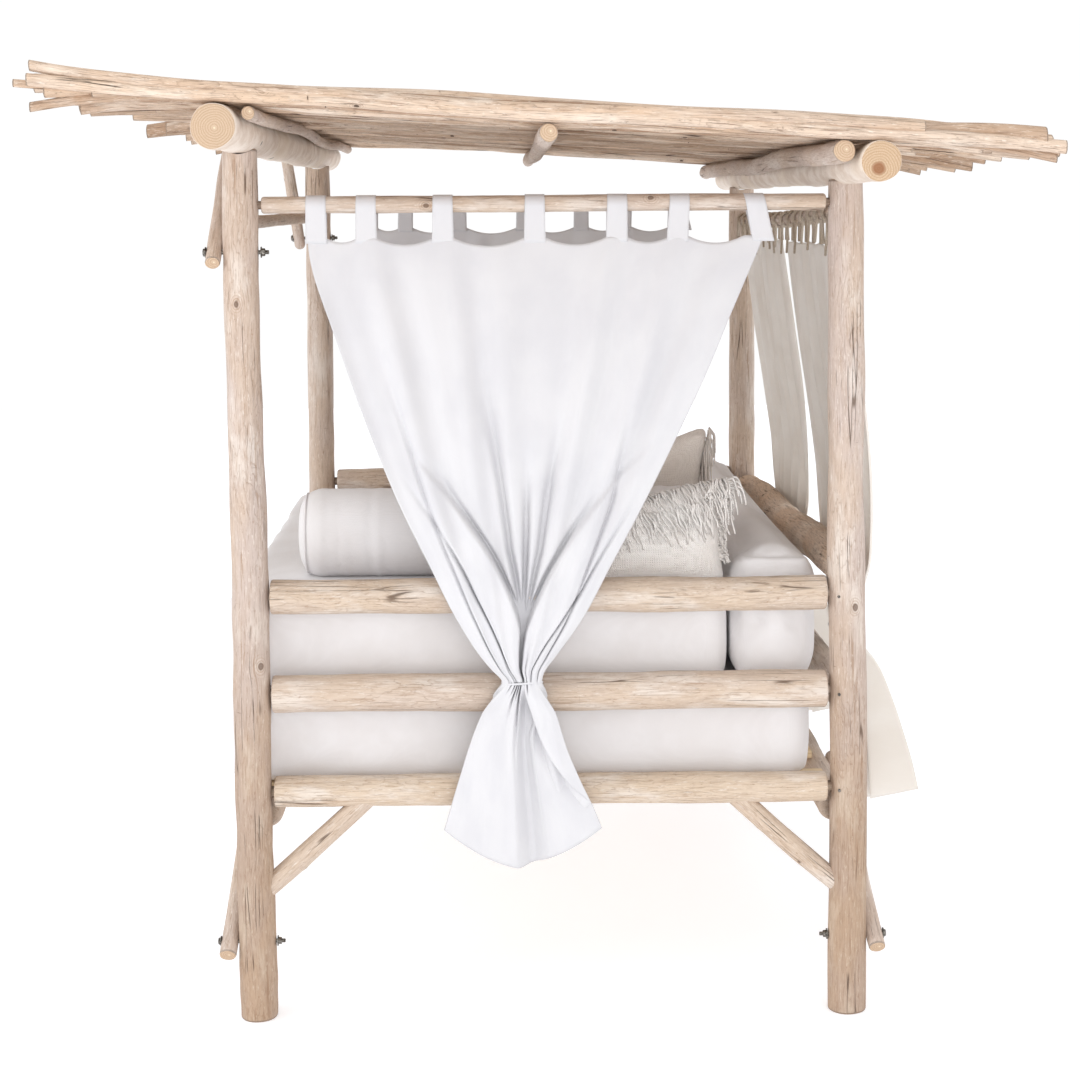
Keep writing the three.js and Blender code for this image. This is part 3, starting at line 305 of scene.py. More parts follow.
finishes = {
    "peeledTeak": peeledWood("peeledTeak", {
        "cool": "#c7b7ae", "warm": "#c8b4a4", "toned": "#d3bfa7", "pale": "#e3dad1", "paleShare": 0.6,
        "streak": "#a1836a", "streakShare": 0.7, "fibre": "#8c7059", "fibreShare": 0.6,
        "crackAndShade": "#5f4938", "crackShare": 0.8, "eye": "#5d4636", "eyeShare": 0.7, "lowDarkening": "#dacbb8",
        "layers": 13.0, "layerShare": 0.45, "fleck": "#8a6549", "fleckShare": 0.5, "scuffShare": 0.65,
        "roughness": 0.82, "relief": 0.0030,
    }),
    "peeledStick": peeledWood("peeledStick", {
        "cool": "#e6d2bf", "warm": "#e5cab0", "toned": "#aa8a70", "pale": "#f2e6d8", "paleShare": 0.5,
        "streak": "#8f725b", "streakShare": 0.9, "fibre": "#705443", "fibreShare": 0.75,
        "crackAndShade": "#4a3628", "crackShare": 0.9, "eye": "#4d392b", "eyeShare": 0.9, "lowDarkening": "#ffffff",
        "layers": 10.0, "layerShare": 0.5, "fleck": "#6b4c37", "fleckShare": 0.6, "scuffShare": 0.6,
        "roughness": 0.9, "relief": 0.0055,
    }),
    "smoothBark": smoothBark("smoothBark", {
        "light": "#f0e4d8", "dark": "#dccbbb", "warm": "#efe0cd", "pore": "#ab9a8a", "scar": "#4a423c",
    }),
    "sawnEnd": sawnEnd("sawnEnd", {
        "light": "#cdb59c", "mid": "#c2a68a", "ring": "#a3805f", "ringStep": 0.0052,
        "heart": 0.008, "heartColour": "#ead9be",
    }),
    "sawnHeart": sawnEnd("sawnHeart", {
        "light": "#cdb499", "mid": "#c0a180", "ring": "#a5805c", "ringStep": 0.0056,
        "heart": 0.022, "heartColour": "#8f5c38",
    }),
    "zincSteel": zincSteel(),
    "sawnPine": sawnPine(),
    "cottonCanvas": wovenCloth("cottonCanvas", {
        "light": "#eceaeb", "dark": "#e6e3e3", "gap": "#c9c4c2", "gapShare": 0.16, "thread": 0.0022,
        "slub": 3.0, "bump": 0.25, "roughness": 0.92, "sheen": 0.15, "byUv": False,
    }),
    "whiteCotton": wovenCloth("whiteCotton", {
        "light": "#d5d4d6", "dark": "#cfced1", "gap": "#bdbdc1", "gapShare": 0.12, "thread": 0.0018,
        "slub": 2.0, "bump": 0.12, "roughness": 0.9, "sheen": 0.2, "byUv": True,
    }),
    "ecruCotton": wovenCloth("ecruCotton", {
        "light": "#f0ece6", "dark": "#e8e2da", "gap": "#c9c0b4", "gapShare": 0.18, "thread": 0.0020,
        "slub": 2.5, "bump": 0.2, "roughness": 0.92, "sheen": 0.15, "byUv": True,
    }),
    "fringeCotton": wovenCloth("fringeCotton", {
        "light": "#fbf8f5", "dark": "#f5f0ec", "gap": "#d2c8bf", "gapShare": 0.35, "thread": 0.0056,
        "slub": 4.0, "bump": 0.9, "roughness": 0.95, "sheen": 0.2, "byUv": False,
    }),
    "jutePale": wovenCloth("jutePale", {
        "light": "#f1e9e2", "dark": "#e6dcd3", "gap": "#bfb2a5", "gapShare": 0.4, "thread": 0.0042,
        "slub": 4.0, "bump": 0.7, "roughness": 0.95, "sheen": 0.15, "byUv": False,
    }),
    "tieString": wovenCloth("tieString", {
        "light": "#d9cdbd", "dark": "#bfae9a", "gap": "#7d6b58", "gapShare": 0.5, "thread": 0.0030,
        "slub": 3.0, "bump": 0.6, "roughness": 0.95, "sheen": 0.1, "byUv": False,
    }),
}
print("materials made")


def finishMesh(mesh, name, materials, body, replaces, slot):
    piece = bpy.data.objects.new(name, mesh)
    for material in materials:
        mesh.materials.append(finishes[material])
    bpy.context.scene.collection.objects.link(piece)
    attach(piece, body)
    if replaces:
        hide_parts(*replaces)
    return piece


def newMesh(name, points, faces):
    mesh = bpy.data.meshes.new(name)
    mesh.from_pydata(points.reshape(-1, 3), [], faces)
    mesh.polygons.foreach_set("use_smooth", np.ones(len(faces), bool))
    mesh.update()
    return mesh


def addAttribute(mesh, name, values):
    values = np.asarray(values, np.float32)
    kind, key = ("FLOAT", "value") if values.ndim == 1 else ("FLOAT_VECTOR", "vector")
    mesh.attributes.new(name, kind, "POINT").data.foreach_set(key, values.ravel())


def pointsOf(mesh):
    points = np.empty(len(mesh.vertices) * 3, np.float32)
    mesh.vertices.foreach_get("co", points)
    return points.reshape(-1, 3)


# Closed skins over stacks of rings: rings[k, i, j] is point j of ring i of skin k, turning
# anticlockwise as seen from the end of the stack. Each end closes on a pole. The last capRings
# rings at both ends are the sawn faces and take the second material.
def makeSkins(name, rings, capRings, materials, body, replaces, slot, extras=None, smoothCaps=False):
    k, m, n, _ = rings.shape
    index = np.arange(k * m * n).reshape(k, m, n)
    ahead = np.roll(index, -1, axis=2)
    quads = np.stack([index[:, :-1], ahead[:, :-1], ahead[:, 1:], index[:, 1:]], -1)
    poles = k * m * n + np.arange(2 * k).reshape(k, 2)
    low = np.stack([ahead[:, 0], index[:, 0], np.broadcast_to(poles[:, :1], (k, n))], -1)
    high = np.stack([index[:, -1], ahead[:, -1], np.broadcast_to(poles[:, 1:], (k, n))], -1)
    faces = [face for part in (quads, low, high) for face in part.reshape(-1, part.shape[-1]).tolist()]

    def withPoles(values):
        return np.concatenate([values.reshape(-1, 3), values[:, [0, -1]].mean(2).reshape(-1, 3)])

    mesh = newMesh(name, withPoles(rings), faces)
    if len(materials) > 1:
        capped = np.zeros((k, m - 1, n), bool)
        capped[:, :capRings] = capped[:, m - 1 - capRings:] = True
        kinds = np.concatenate([capped.ravel(), np.ones(2 * k * n, bool)])
        mesh.polygons.foreach_set("material_index", kinds.astype(np.int32))
    for key, values in (extras or {}).items():
        addAttribute(mesh, key, withPoles(values))
    if not smoothCaps:
        mesh.set_sharp_from_angle(angle=np.radians(50))
    return finishMesh(mesh, name, materials, body, replaces, slot)


# Thin cloth over grids of points, grids[k, i, j], with each point's flat place in metres as its
# UV map.
def makeCloth(name, grids, flat, material, body, replaces, thickness):
    k, m, n, _ = grids.shape
    index = np.arange(k * m * n).reshape(k, m, n)
    left, right = index[..., :-1], index[..., 1:]
    quads = np.stack([left[:, :-1], left[:, 1:], right[:, 1:], right[:, :-1]], -1).reshape(-1, 4)
    mesh = newMesh(name, grids, quads.tolist())
    flat = flat.reshape(-1, 2)[quads.ravel()].astype(np.float32)
    mesh.uv_layers.new(name="cloth").data.foreach_set("uv", flat.ravel())
    piece = finishMesh(mesh, name, [material], body, replaces, "voile")
    wall = piece.modifiers.new("wall", "SOLIDIFY")
    wall.thickness, wall.offset = thickness, 0
    return piece


# Values read from a table along a smooth curve: a cubic between neighbours, with the slope at
# each entry taken from the entries beside it.
def smoothTable(at, places, values):
    slopes = np.gradient(values, places)
    i = np.clip(np.searchsorted(places, at) - 1, 0, len(places) - 2)
    width = places[i + 1] - places[i]
    t = np.clip((at - places[i]) / width, 0, 1)
    start, finish = slopes[i] * width, slopes[i + 1] * width
    return ((2 * t**3 - 3 * t**2 + 1) * values[i] + (t**3 - 2 * t**2 + t) * start
            + (3 * t**2 - 2 * t**3) * values[i + 1] + (t**3 - t**2) * finish)


# 0 to 1 with flat ends: 3 x^2 - 2 x^3
def easeIn(value):
    value = np.clip(value, 0, 1)
    return value * value * (3 - 2 * value)


# count angles that divide a turn evenly
def roundTurn(count):
    return np.arange(count) * 2 * np.pi / count


# A smooth wandering line: a sum of sines with seeded turns per metre between slow and fast, about
# 1 high.
def waves(at, seed, slow, fast, count=5):
    dice = np.random.default_rng(seed)
    pace = dice.uniform(slow, fast, count)
    phase = dice.uniform(0, 2 * np.pi, count)
    size = dice.uniform(0.5, 1.0, count)
    at = np.asarray(at, float)[..., None]
    return (np.sin(2 * np.pi * at * pace + phase) * size).sum(-1) / np.sqrt((size**2).sum())


# Distances along a log and its radius there, as shares of the full radius. Both ends are alike: a
# rounded shoulder with its tenon, or a sawn face, which takes three rings.
def logStations(length, step, radius, tenon):
    chamfer = 0.003
    if tenon:
        turn = np.linspace(0, 1, 6) * np.pi / 2
        at = [0, tenon["shoulder"] - 0.0005, *(tenon["shoulder"] + tenon["round"] * (1 - np.cos(turn)))]
        size = [tenon["radius"] / radius] * 2 + [*(1 - tenon["round"] / radius * (1 - np.sin(turn)))]
    else:
        at = [0, 0, 0, 0.0008, chamfer * 1.6]
        size = [0.35, 0.7, 1 - chamfer / radius, 1 - 0.4 * chamfer / radius, 1]
    at, size = np.array(at), np.array(size)
    middle = np.arange(at[-1] + step, length - at[-1] - step / 2, step)
    size = np.concatenate([size, np.ones(len(middle)), size[::-1]])
    return np.concatenate([at, middle, length - at[::-1]]), size


# P(s, a) = C(s) + r(s, a) (cos a A + sin a B). C is the straight line from start to finish plus a
# wandering line that dies out at the ends, and r is the tapered radius times 1 + slow waves + an
# oval + lumps, plus a bell at each knot.
def logRings(start, finish, radii, look, tenon):
    length = np.linalg.norm(finish - start)
    along = (finish - start) / length
    side = np.cross([0, 0, 1] if abs(along[2]) < 0.7 else [1, 0, 0], along)
    side /= np.linalg.norm(side)
    over = np.cross(along, side)
    seed, lumps, radius = look["seed"], look["lumps"], max(radii)
    at, size = logStations(length, look["step"], radius, tenon)
    t = at / length
    fade = look["crook"] * np.sin(np.pi * np.clip(t, 0, 1)) ** 0.6
    wanderA = fade * waves(at, seed, 0.15, look.get("turns", 1.1))
    wanderB = fade * waves(at, seed + 1, 0.15, look.get("turns", 1.1))
    if "sag" in look:
        wanderB = wanderB + look["sag"](t)
    s, a = np.meshgrid(at, roundTurn(look["sides"]), indexing="ij")
    base = np.interp(t, np.linspace(0, 1, len(radii)), radii) * size
    ripple = 1 + lumps * waves(at, seed + 2, 0.8, 5.0)
    oval = 0.5 * lumps * np.cos(2 * a + 2 * waves(s, seed + 3, 0.1, 0.6))
    three = np.cos(3 * a + 5 * waves(s, seed + 4, 0.3, 1.5))
    five = np.cos(5 * a + 6 * waves(s, seed + 5, 0.4, 2.5))
    r = base[:, None] * (ripple[:, None] + oval + 0.35 * lumps * (three + five))
    outside = (size >= 0.75)[:, None]
    nearest = np.full(s.shape, 1e3)
    knotPlace = np.full((*s.shape, 3), 9.0)
    bentAngle = a.copy()
    for where, turn, width in look["knots"]:
        ds = s - where * length
        across = ((a - turn + np.pi) % (2 * np.pi) - np.pi) * radius
        apart = np.hypot(ds, across)
        r = r + outside * width * 0.22 * np.exp(-(apart / width) ** 2)
        closer = (apart < nearest)[..., None]
        nearest = np.minimum(apart, nearest)
        here = np.stack([ds / (width * 1.3), across / width, np.zeros_like(ds)], -1)
        knotPlace = np.where(closer, here, knotPlace)
        bend = np.exp(-(ds / (2.6 * width)) ** 2 - (across / (1.8 * width)) ** 2)
        bentAngle = bentAngle - (across / radius) * 0.75 * bend
    centre = start + at[:, None] * along + wanderA[:, None] * side + wanderB[:, None] * over
    spoke = np.cos(a)[..., None] * side + np.sin(a)[..., None] * over
    rings = centre[:, None] + r[..., None] * spoke
    grain = np.stack([np.cos(bentAngle) * r, np.sin(bentAngle) * r, s], -1)
    grain = grain + seed * np.array([0.37, 0.11, 1.7])
    if not tenon:
        # the sawn faces' rings turn round a pith that lies a little off the middle
        flat = np.stack([np.cos(a) * r, np.sin(a) * r, 0 * s], -1) + look.get("pith", (0.004, -0.003, 0))
        grain[:4], grain[-4:] = flat[:4], flat[-4:]
    return rings, grain, knotPlace


def makeLog(node, start, finish, radii, look, tenon=None, name=None, trim=None):
    rings, grain, knotPlace = logRings(np.array(start), np.array(finish), radii, look, tenon)
    if trim:
        rings = trim(rings)
    materials = [look.get("material", "peeledTeak"), look.get("face", "sawnEnd")][:1 if tenon else 2]
    slot = look.get("slot", "peeled_wood")
    piece = makeSkins(name or f"{node}_log", rings[None], 3, materials, "frame", (node,), slot,
                      {"grainPlace": grain[None], "knotPlace": knotPlace[None]})
    mesh = piece.data
    addAttribute(mesh, "tone", np.full(len(mesh.vertices), look.get("tone", 0.0)))
    return mesh, pointsOf(mesh)


bed = {
    "halfLength": 1.025,  # posts' axes
    "halfDepth": 0.705,
    "frontTop": 2.093,
    "backTop": 2.017,
    "backLean": 0.028,
}
ends = {"right": 1, "left": -1}
fronts = {"front": -1, "back": 1}
corners = [(front, end) for end in ends for front in fronts]

# a knot is the share of the length, the angle and the width
posts = {
    "foot": 0.0455, "middle": 0.0435, "head": 0.0405, "lowDarkening": 0.8, "lowDarkeningTo": 1.25, "lowDarkeningFade": 0.9,
    "seat": 0.001,  # gap between the hollowed head and the beam
    "step": 0.012, "sides": 40, "crook": 0.0042, "lumps": 0.028, "turns": 0.9,
    "tone": {"right": 0.0, "left": 0.25},
    "knots": {
        "front_right": [
            (0.045, 5.3, 0.012), (0.31, 5.9, 0.010), (0.56, 5.5, 0.014), (0.735, 5.0, 0.010),
            (0.93, 5.2, 0.016), (0.42, 2.2, 0.013), (0.83, 1.4, 0.012)],
        "back_right": [
            (0.10, 5.4, 0.011), (0.36, 5.6, 0.012), (0.62, 4.9, 0.015), (0.77, 5.7, 0.010),
            (0.50, 1.9, 0.013)],
        "front_left": [(0.12, 5.0, 0.012), (0.47, 5.6, 0.014), (0.70, 4.8, 0.011), (0.88, 5.4, 0.012)],
        "back_left": [(0.16, 5.2, 0.013), (0.55, 5.5, 0.016), (0.80, 4.7, 0.012)],
    },
}


def postTop(front):
    return bed["frontTop"] if front == "front" else bed["backTop"]


def postAxis(front, end, z):
    lean = bed["backLean"] * (1 - z / postTop(front)) if front == "back" else 0.0
    return np.array([ends[end] * bed["halfLength"], fronts[front] * (bed["halfDepth"] + lean), z])


# The middle in Y and Z and the radius of a round CAD node that lies along X.
def roundOf(node):
    low, high = boxOf(node)
    return (low[1] + high[1]) / 2, (low[2] + high[2]) / 2, (high[2] - low[2]) / 2


# Each post is a log on end. Its head is hollowed to the beam: no point lies higher than the
# beam's underside above it.
def makePosts():
    radii = posts["foot"], posts["middle"], posts["head"]
    for number, (front, end) in enumerate(corners):
        corner = f"{front}_{end}"
        beamY, beamZ, beamRadius = roundOf(f"{front}_beam")

        def underBeam(rings):
            apart = np.abs(rings[..., 1] - beamY)
            seat = beamZ - np.sqrt(np.maximum((beamRadius + posts["seat"]) ** 2 - apart**2, 0))
            rings[..., 2] = np.clip(rings[..., 2], 0, np.where(apart < beamRadius, seat, np.inf))
            return rings

        look = {**posts, "seed": 11 + 7 * number, "knots": posts["knots"][corner], "tone": posts["tone"][end]}
        foot, head = postAxis(front, end, 0), postAxis(front, end, postTop(front))
        mesh, points = makeLog(f"{corner}_post", foot, head, radii, look, None, f"{corner}_log", underBeam)
        # each post is darker towards its foot, fading out up the post
        lowDarkening = posts["lowDarkening"] * easeIn((posts["lowDarkeningTo"] - points[:, 2]) / posts["lowDarkeningFade"])
        addAttribute(mesh, "lowDarkening", lowDarkening)


# How far the back rod lies above its straight line, from its right end to its left one.
def rodSag(t):
    return 0.019 * (1 - 2 * t) - 0.007 * np.sin(np.pi * t) + 0.002 * np.sin(9 * t)


rails = {
    # height and radius
    "endRails": {
        "lower_rail": (0.562, 0.037), "middle_rail": (0.802, 0.045), "top_rail": (1.039, 0.041),
        "curtain_rod": (1.965, 0.0195),
    },
    # way in from the posts' axes, height at the right and at the left, and radius
    "sideRails": {
        "front_long_rail": (0.022, 0.500, 0.500, 0.040), "back_long_rail": (0.022, 0.500, 0.500, 0.040),
        "back_middle_rail": (-0.010, 0.760, 0.760, 0.040), "back_top_rail": (-0.010, 1.090, 1.008, 0.047),
        "front_curtain_rod": (0, 1.925, 1.925, 0.016), "back_curtain_rod": (0, 1.925, 1.925, 0.016),
    },
    "mortise": 0.0183,  # from a post's axis to the tenon's end
    "postRadius": 0.0445, "tenon": 0.014, "round": 0.006, "gap": 0.0050,
    # painted shade round a rail's ends: how far it reaches past the post's surface, and how wide it fades
    "jointShadeReach": 0.009, "jointShadeFade": 0.006,
    "step": 0.012, "sides": 36, "crook": 0.0035, "lumps": 0.022,
    "rod": {"postRadius": 0.0425, "tenon": 0.010, "sides": 24, "crook": 0.0012},
    "knots": {
        "right_end_top_rail": [
            (0.27, 0.2, 0.011), (0.30, 5.9, 0.010), (0.86, 0.4, 0.012), (0.55, 2.9, 0.012)],
        "right_end_middle_rail": [
            (0.35, 0.5, 0.010), (0.22, 6.0, 0.009), (0.75, 6.1, 0.011), (0.93, 0.2, 0.008)],
        "right_end_lower_rail": [(0.12, 0.3, 0.010), (0.47, 5.9, 0.012), (0.8, 0.1, 0.010)],
    },
    # how yellow each rail is
    "tone": {"right_end_top_rail": 0.5, "right_end_middle_rail": 0.35, "right_end_lower_rail": 0.75},
    "special": {
        "back_curtain_rod": {"sag": rodSag, "tone": 0.1, "crook": 0.001},
        "back_top_rail": {"tone": 0.25, "crook": 0.004, "material": "peeledStick"},
    },
}


# End rails and rods run between a front and a back post, side rails between a right and a left
# one. Each starts and ends in its mortises, and its shoulder stands off the post by the gap.
def makeRails():
    jobs = [(f"{end}_end_{kind}", postAxis("front", end, z), postAxis("back", end, z), radius)
            for end in ends for kind, (z, radius) in rails["endRails"].items()]
    for name, (inset, right, left, radius) in rails["sideRails"].items():
        front = name.split("_")[0]
        move = np.array([0, -fronts[front] * inset, 0])
        a, b = postAxis(front, "right", right) + move, postAxis(front, "left", left) + move
        jobs.append((name, a, b, radius))
    for number, (name, a, b, radius) in enumerate(jobs):
        knots = rails["knots"].get(name, [(0.3, 0.3 + number, 0.010), (0.68, 5.6 - number, 0.011)])
        look = {**rails, "seed": 101 + 9 * number, "knots": knots, "tone": rails["tone"].get(name, 0.35),
                **(rails["rod"] if "rod" in name else {}), **rails["special"].get(name, {})}
        tenon = {"shoulder": look["postRadius"] + rails["gap"] - rails["mortise"], "radius": look["tenon"],
                 "round": min(rails["round"], radius * 0.45)}
        step = (b - a) / np.linalg.norm(b - a) * rails["mortise"]
        mesh, points = makeLog(name, a + step, b - step, (radius, radius * 1.03, radius), look, tenon)
        # painted shade where the log meets a post, in place of the shadow in the gap: by the distance from
        # the nearer post's axis
        reach = np.minimum(*(np.linalg.norm((points - axis)[:, :2], axis=1) for axis in (a, b)))
        jointShade = easeIn((look["postRadius"] + rails["jointShadeReach"] - reach) / rails["jointShadeFade"])
        addAttribute(mesh, "jointShade", jointShade)


# radii, the way past the foot and the way short of the head, and the change of seed and tone
braces = {
    "step": 0.012, "sides": 28, "crook": 0.003, "lumps": 0.03,
    "low": ((0.020, 0.0205, 0.0195), 0.042, 0, 0, 0.2),
    "knee": ((0.018, 0.0185, 0.017), 0.042, 0, 5, 0.2),
    "end": ((0.0245, 0.025, 0.024), -0.012, 0.014, 3, 0.4),
}


# Low and knee braces lie on the outer faces of the posts and run past their bolts. End braces end
# inside the post and the rail that they are coped to.
def makeBraces():
    for number, (front, end) in enumerate(corners):
        out, right = fronts[front], ends[end]

        def outside(z, gap):
            return postAxis(front, end, z) + [0, out * gap, 0]

        lowHead = np.array([right * (bed["halfLength"] - 0.460), outside(0.500, 0.0398)[1], 0.512])
        places = {"low": (outside(0.190, 0.0678), lowHead),
                  "end": (postAxis(front, end, 0.300), outside(0.562, -0.290))}
        if front == "front":
            foot = outside(1.856, 0.0653)
            places["knee"] = foot, np.array([right * (bed["halfLength"] - 0.400), foot[1], 2.142])
        knots = [(0.35, 4.5 + number, 0.008), (0.7, 5.5 - number, 0.007)]
        for kind in ("low", "knee", "end"):
            if kind in places:
                foot, head = places[kind]
                radii, before, after, change, tone = braces[kind]
                step = (head - foot) / np.linalg.norm(head - foot)
                look = {**braces, "seed": 301 + 13 * number + change, "tone": tone, "knots": knots}
                makeLog(f"{front}_{end}_{kind}_brace", foot - step * before, head - step * after, radii, look)


beams = {
    "step": 0.014, "sides": 44, "crook": 0.006, "lumps": 0.03, "turns": 0.8,
    "material": "smoothBark", "slot": "grey_bark", "halfLength": 1.475,
    "front": {
        "radius": 0.0465, "seed": 401, "face": "sawnEnd", "pith": (0.004, 0.004, 0),
        "knots": [(0.165, 3.6, 0.010), (0.36, 4.4, 0.012), (0.61, 3.9, 0.011), (0.83, 4.6, 0.010),
                  (0.10, 5.2, 0.009), (0.5, 1.2, 0.012)],
    },
    "back": {
        "radius": 0.0425, "seed": 431, "face": "sawnHeart", "pith": (-0.006, 0.016, 0),
        "knots": [(0.24, 5.0, 0.011), (0.49, 4.2, 0.014), (0.78, 5.3, 0.011), (0.92, 1.3, 0.012)],
    },
}


# The beams are logs in thin bark. They start at the right end, which faces the camera.
def makeBeams():
    for front in fronts:
        y, z, _ = roundOf(f"{front}_beam")
        look = {**beams, **beams[front]}
        radii = look["radius"] * np.array([1.02, 1, 1, 0.97])
        makeLog(f"{front}_beam", (look["halfLength"], y, z), (-look["halfLength"], y, z), radii, look)
    print("beams made")


poles = {
    "step": 0.016, "sides": 24, "crook": 0.005, "lumps": 0.035, "tone": 0.15,
    "knots": [(0.03, 4.0, 0.008), (0.22, 4.4, 0.009), (0.58, 4.9, 0.009)],
}


def makePoles():
    for number, place in enumerate(("front", "middle", "back")):
        node = f"{place}_roof_pole"
        low, high = boxOf(node)
        y, z, radius = roundOf(node)
        radii = radius * np.array([1, 0.96, 0.92])
        makeLog(node, (high[0], y, z), (low[0], y, z), radii, {**poles, "seed": 501 + 11 * number})


makePosts()
makeRails()
makeBraces()
makeBeams()
makePoles()
print("logs made")


roof = {
    "slope": 0.0595,  # radians
    "frontHeight": 2.130, "lift": 0.0473,  # the plane that the sticks lie on
    "perPanel": 17, "panels": 5, "length": 2.93, "depth": 2.2,
    "sides": 12, "rings": 70, "fat": 1.08,
    "thin": 0.0135, "thick": 0.0195,
    "longTip": 0.022,  # how far the longest ends pass the nominal depth
    "frontTips": 0.26,  # how much the front ends differ in length
    "backTips": 0.24,
    "rise": 0.034,  # how far the front tips may bend up or down
    "fan": 0.055,  # how far a tip may stray sideways past the beam
    "stack": 0.013,  # how far one stick may lie above its neighbours
    "riders": (3, 8, 13),  # thinner sticks lie on the row beside these
    # the sticks along each end of the roof, from the edge inwards: way in from the edge, radius,
    # height above the row, front cut, front lift, back cut, back lift and tone
    "edge": (
        (0.002, 0.0118, 0.0165, 0.012, 0.030, 0.300, -0.004, 0.35),
        (0.000, 0.0128, 0.0000, 0.006, 0.013, -0.004, -0.006, 0.20),
        (0.022, 0.0105, 0.0010, 0.006, -0.046, 0.010, -0.034, 0.70),
        (0.020, 0.0080, 0.0020, -0.026, 0.002, 0.030, 0.002, 0.55),
        (0.036, 0.0125, 0.0090, 0.040, -0.016, 0.004, -0.022, 0.35),
    ),
}


# A column of numbers for each stick of a panel: radius, place along the roof, what is cut off its
# front and back ends, how far these lift, height above the row and tone.
def stickColumns(panel, dice):
    count = roof["perPanel"]
    serial = panel * count + np.arange(count)
    longest = serial % 7 == 3
    radius = np.where(longest, roof["thick"], dice.uniform(roof["thin"], roof["thick"], count))
    # each stick lies against the one before it, and the row fills the panel
    beside = np.concatenate([[radius[0]], radius[:-1] + radius[1:]]).cumsum()
    pitch = roof["length"] / roof["panels"]
    x = (panel - roof["panels"] / 2) * pitch + beside * pitch / (beside[-1] + radius[-1])
    frontCut = np.where(longest, -roof["longTip"], roof["frontTips"] * dice.uniform(0, 1, count) ** 1.3)
    backCut = np.where(serial % 6 == 1, -roof["longTip"], roof["backTips"] * dice.uniform(0, 1, count) ** 1.3)
    bundle = waves(serial / 3.0, 9, 0.2, 0.6)  # neighbours bend alike, by threes
    tipLift = 0.5 * roof["rise"] * bundle + dice.uniform(-1, 1, count) * roof["rise"] * 0.8
    tailLift = -0.016 + dice.uniform(-1, 1, count) * roof["rise"] * 0.5
    over = dice.uniform(0, 1, count) ** 2 * roof["stack"]  # some lie on their neighbours
    tone = dice.uniform(0, 1, count) ** 1.4
    columns = np.stack([radius, x, frontCut, backCut, tipLift, tailLift, over, tone])
    # riders lie in the valley between two sticks
    below = np.array(roof["riders"])
    few = len(below)
    riders = [dice.uniform(0.010, 0.0125, few), (x[below] + x[below + 1]) / 2, dice.uniform(0.02, 0.3, few),
              dice.uniform(0.02, 0.3, few), dice.uniform(-0.01, 0.02, few), dice.uniform(-0.02, 0.01, few),
              np.full(few, 0.016), dice.uniform(0, 0.8, few)]
    columns = np.concatenate([columns, riders], 1)
    side = {0: -1, roof["panels"] - 1: 1}.get(panel)
    if side:
        # the outermost stick gives way to the sticks along the roof's end
        columns = np.delete(columns, 0 if side < 0 else count - 1, 1)
        wayIn, thin, high, cut, lift, tail, sink, shade = np.array(roof["edge"]).T
        if side < 0:
            lift, sink = lift * np.where(lift < 0, 1.4, 1), sink * np.where(sink < 0, 1.8, 1)
        edge = [thin, side * (roof["length"] / 2 - thin - wayIn), cut, tail, lift, sink, high, shade]
        columns = np.concatenate([columns, edge], 1)
    return columns


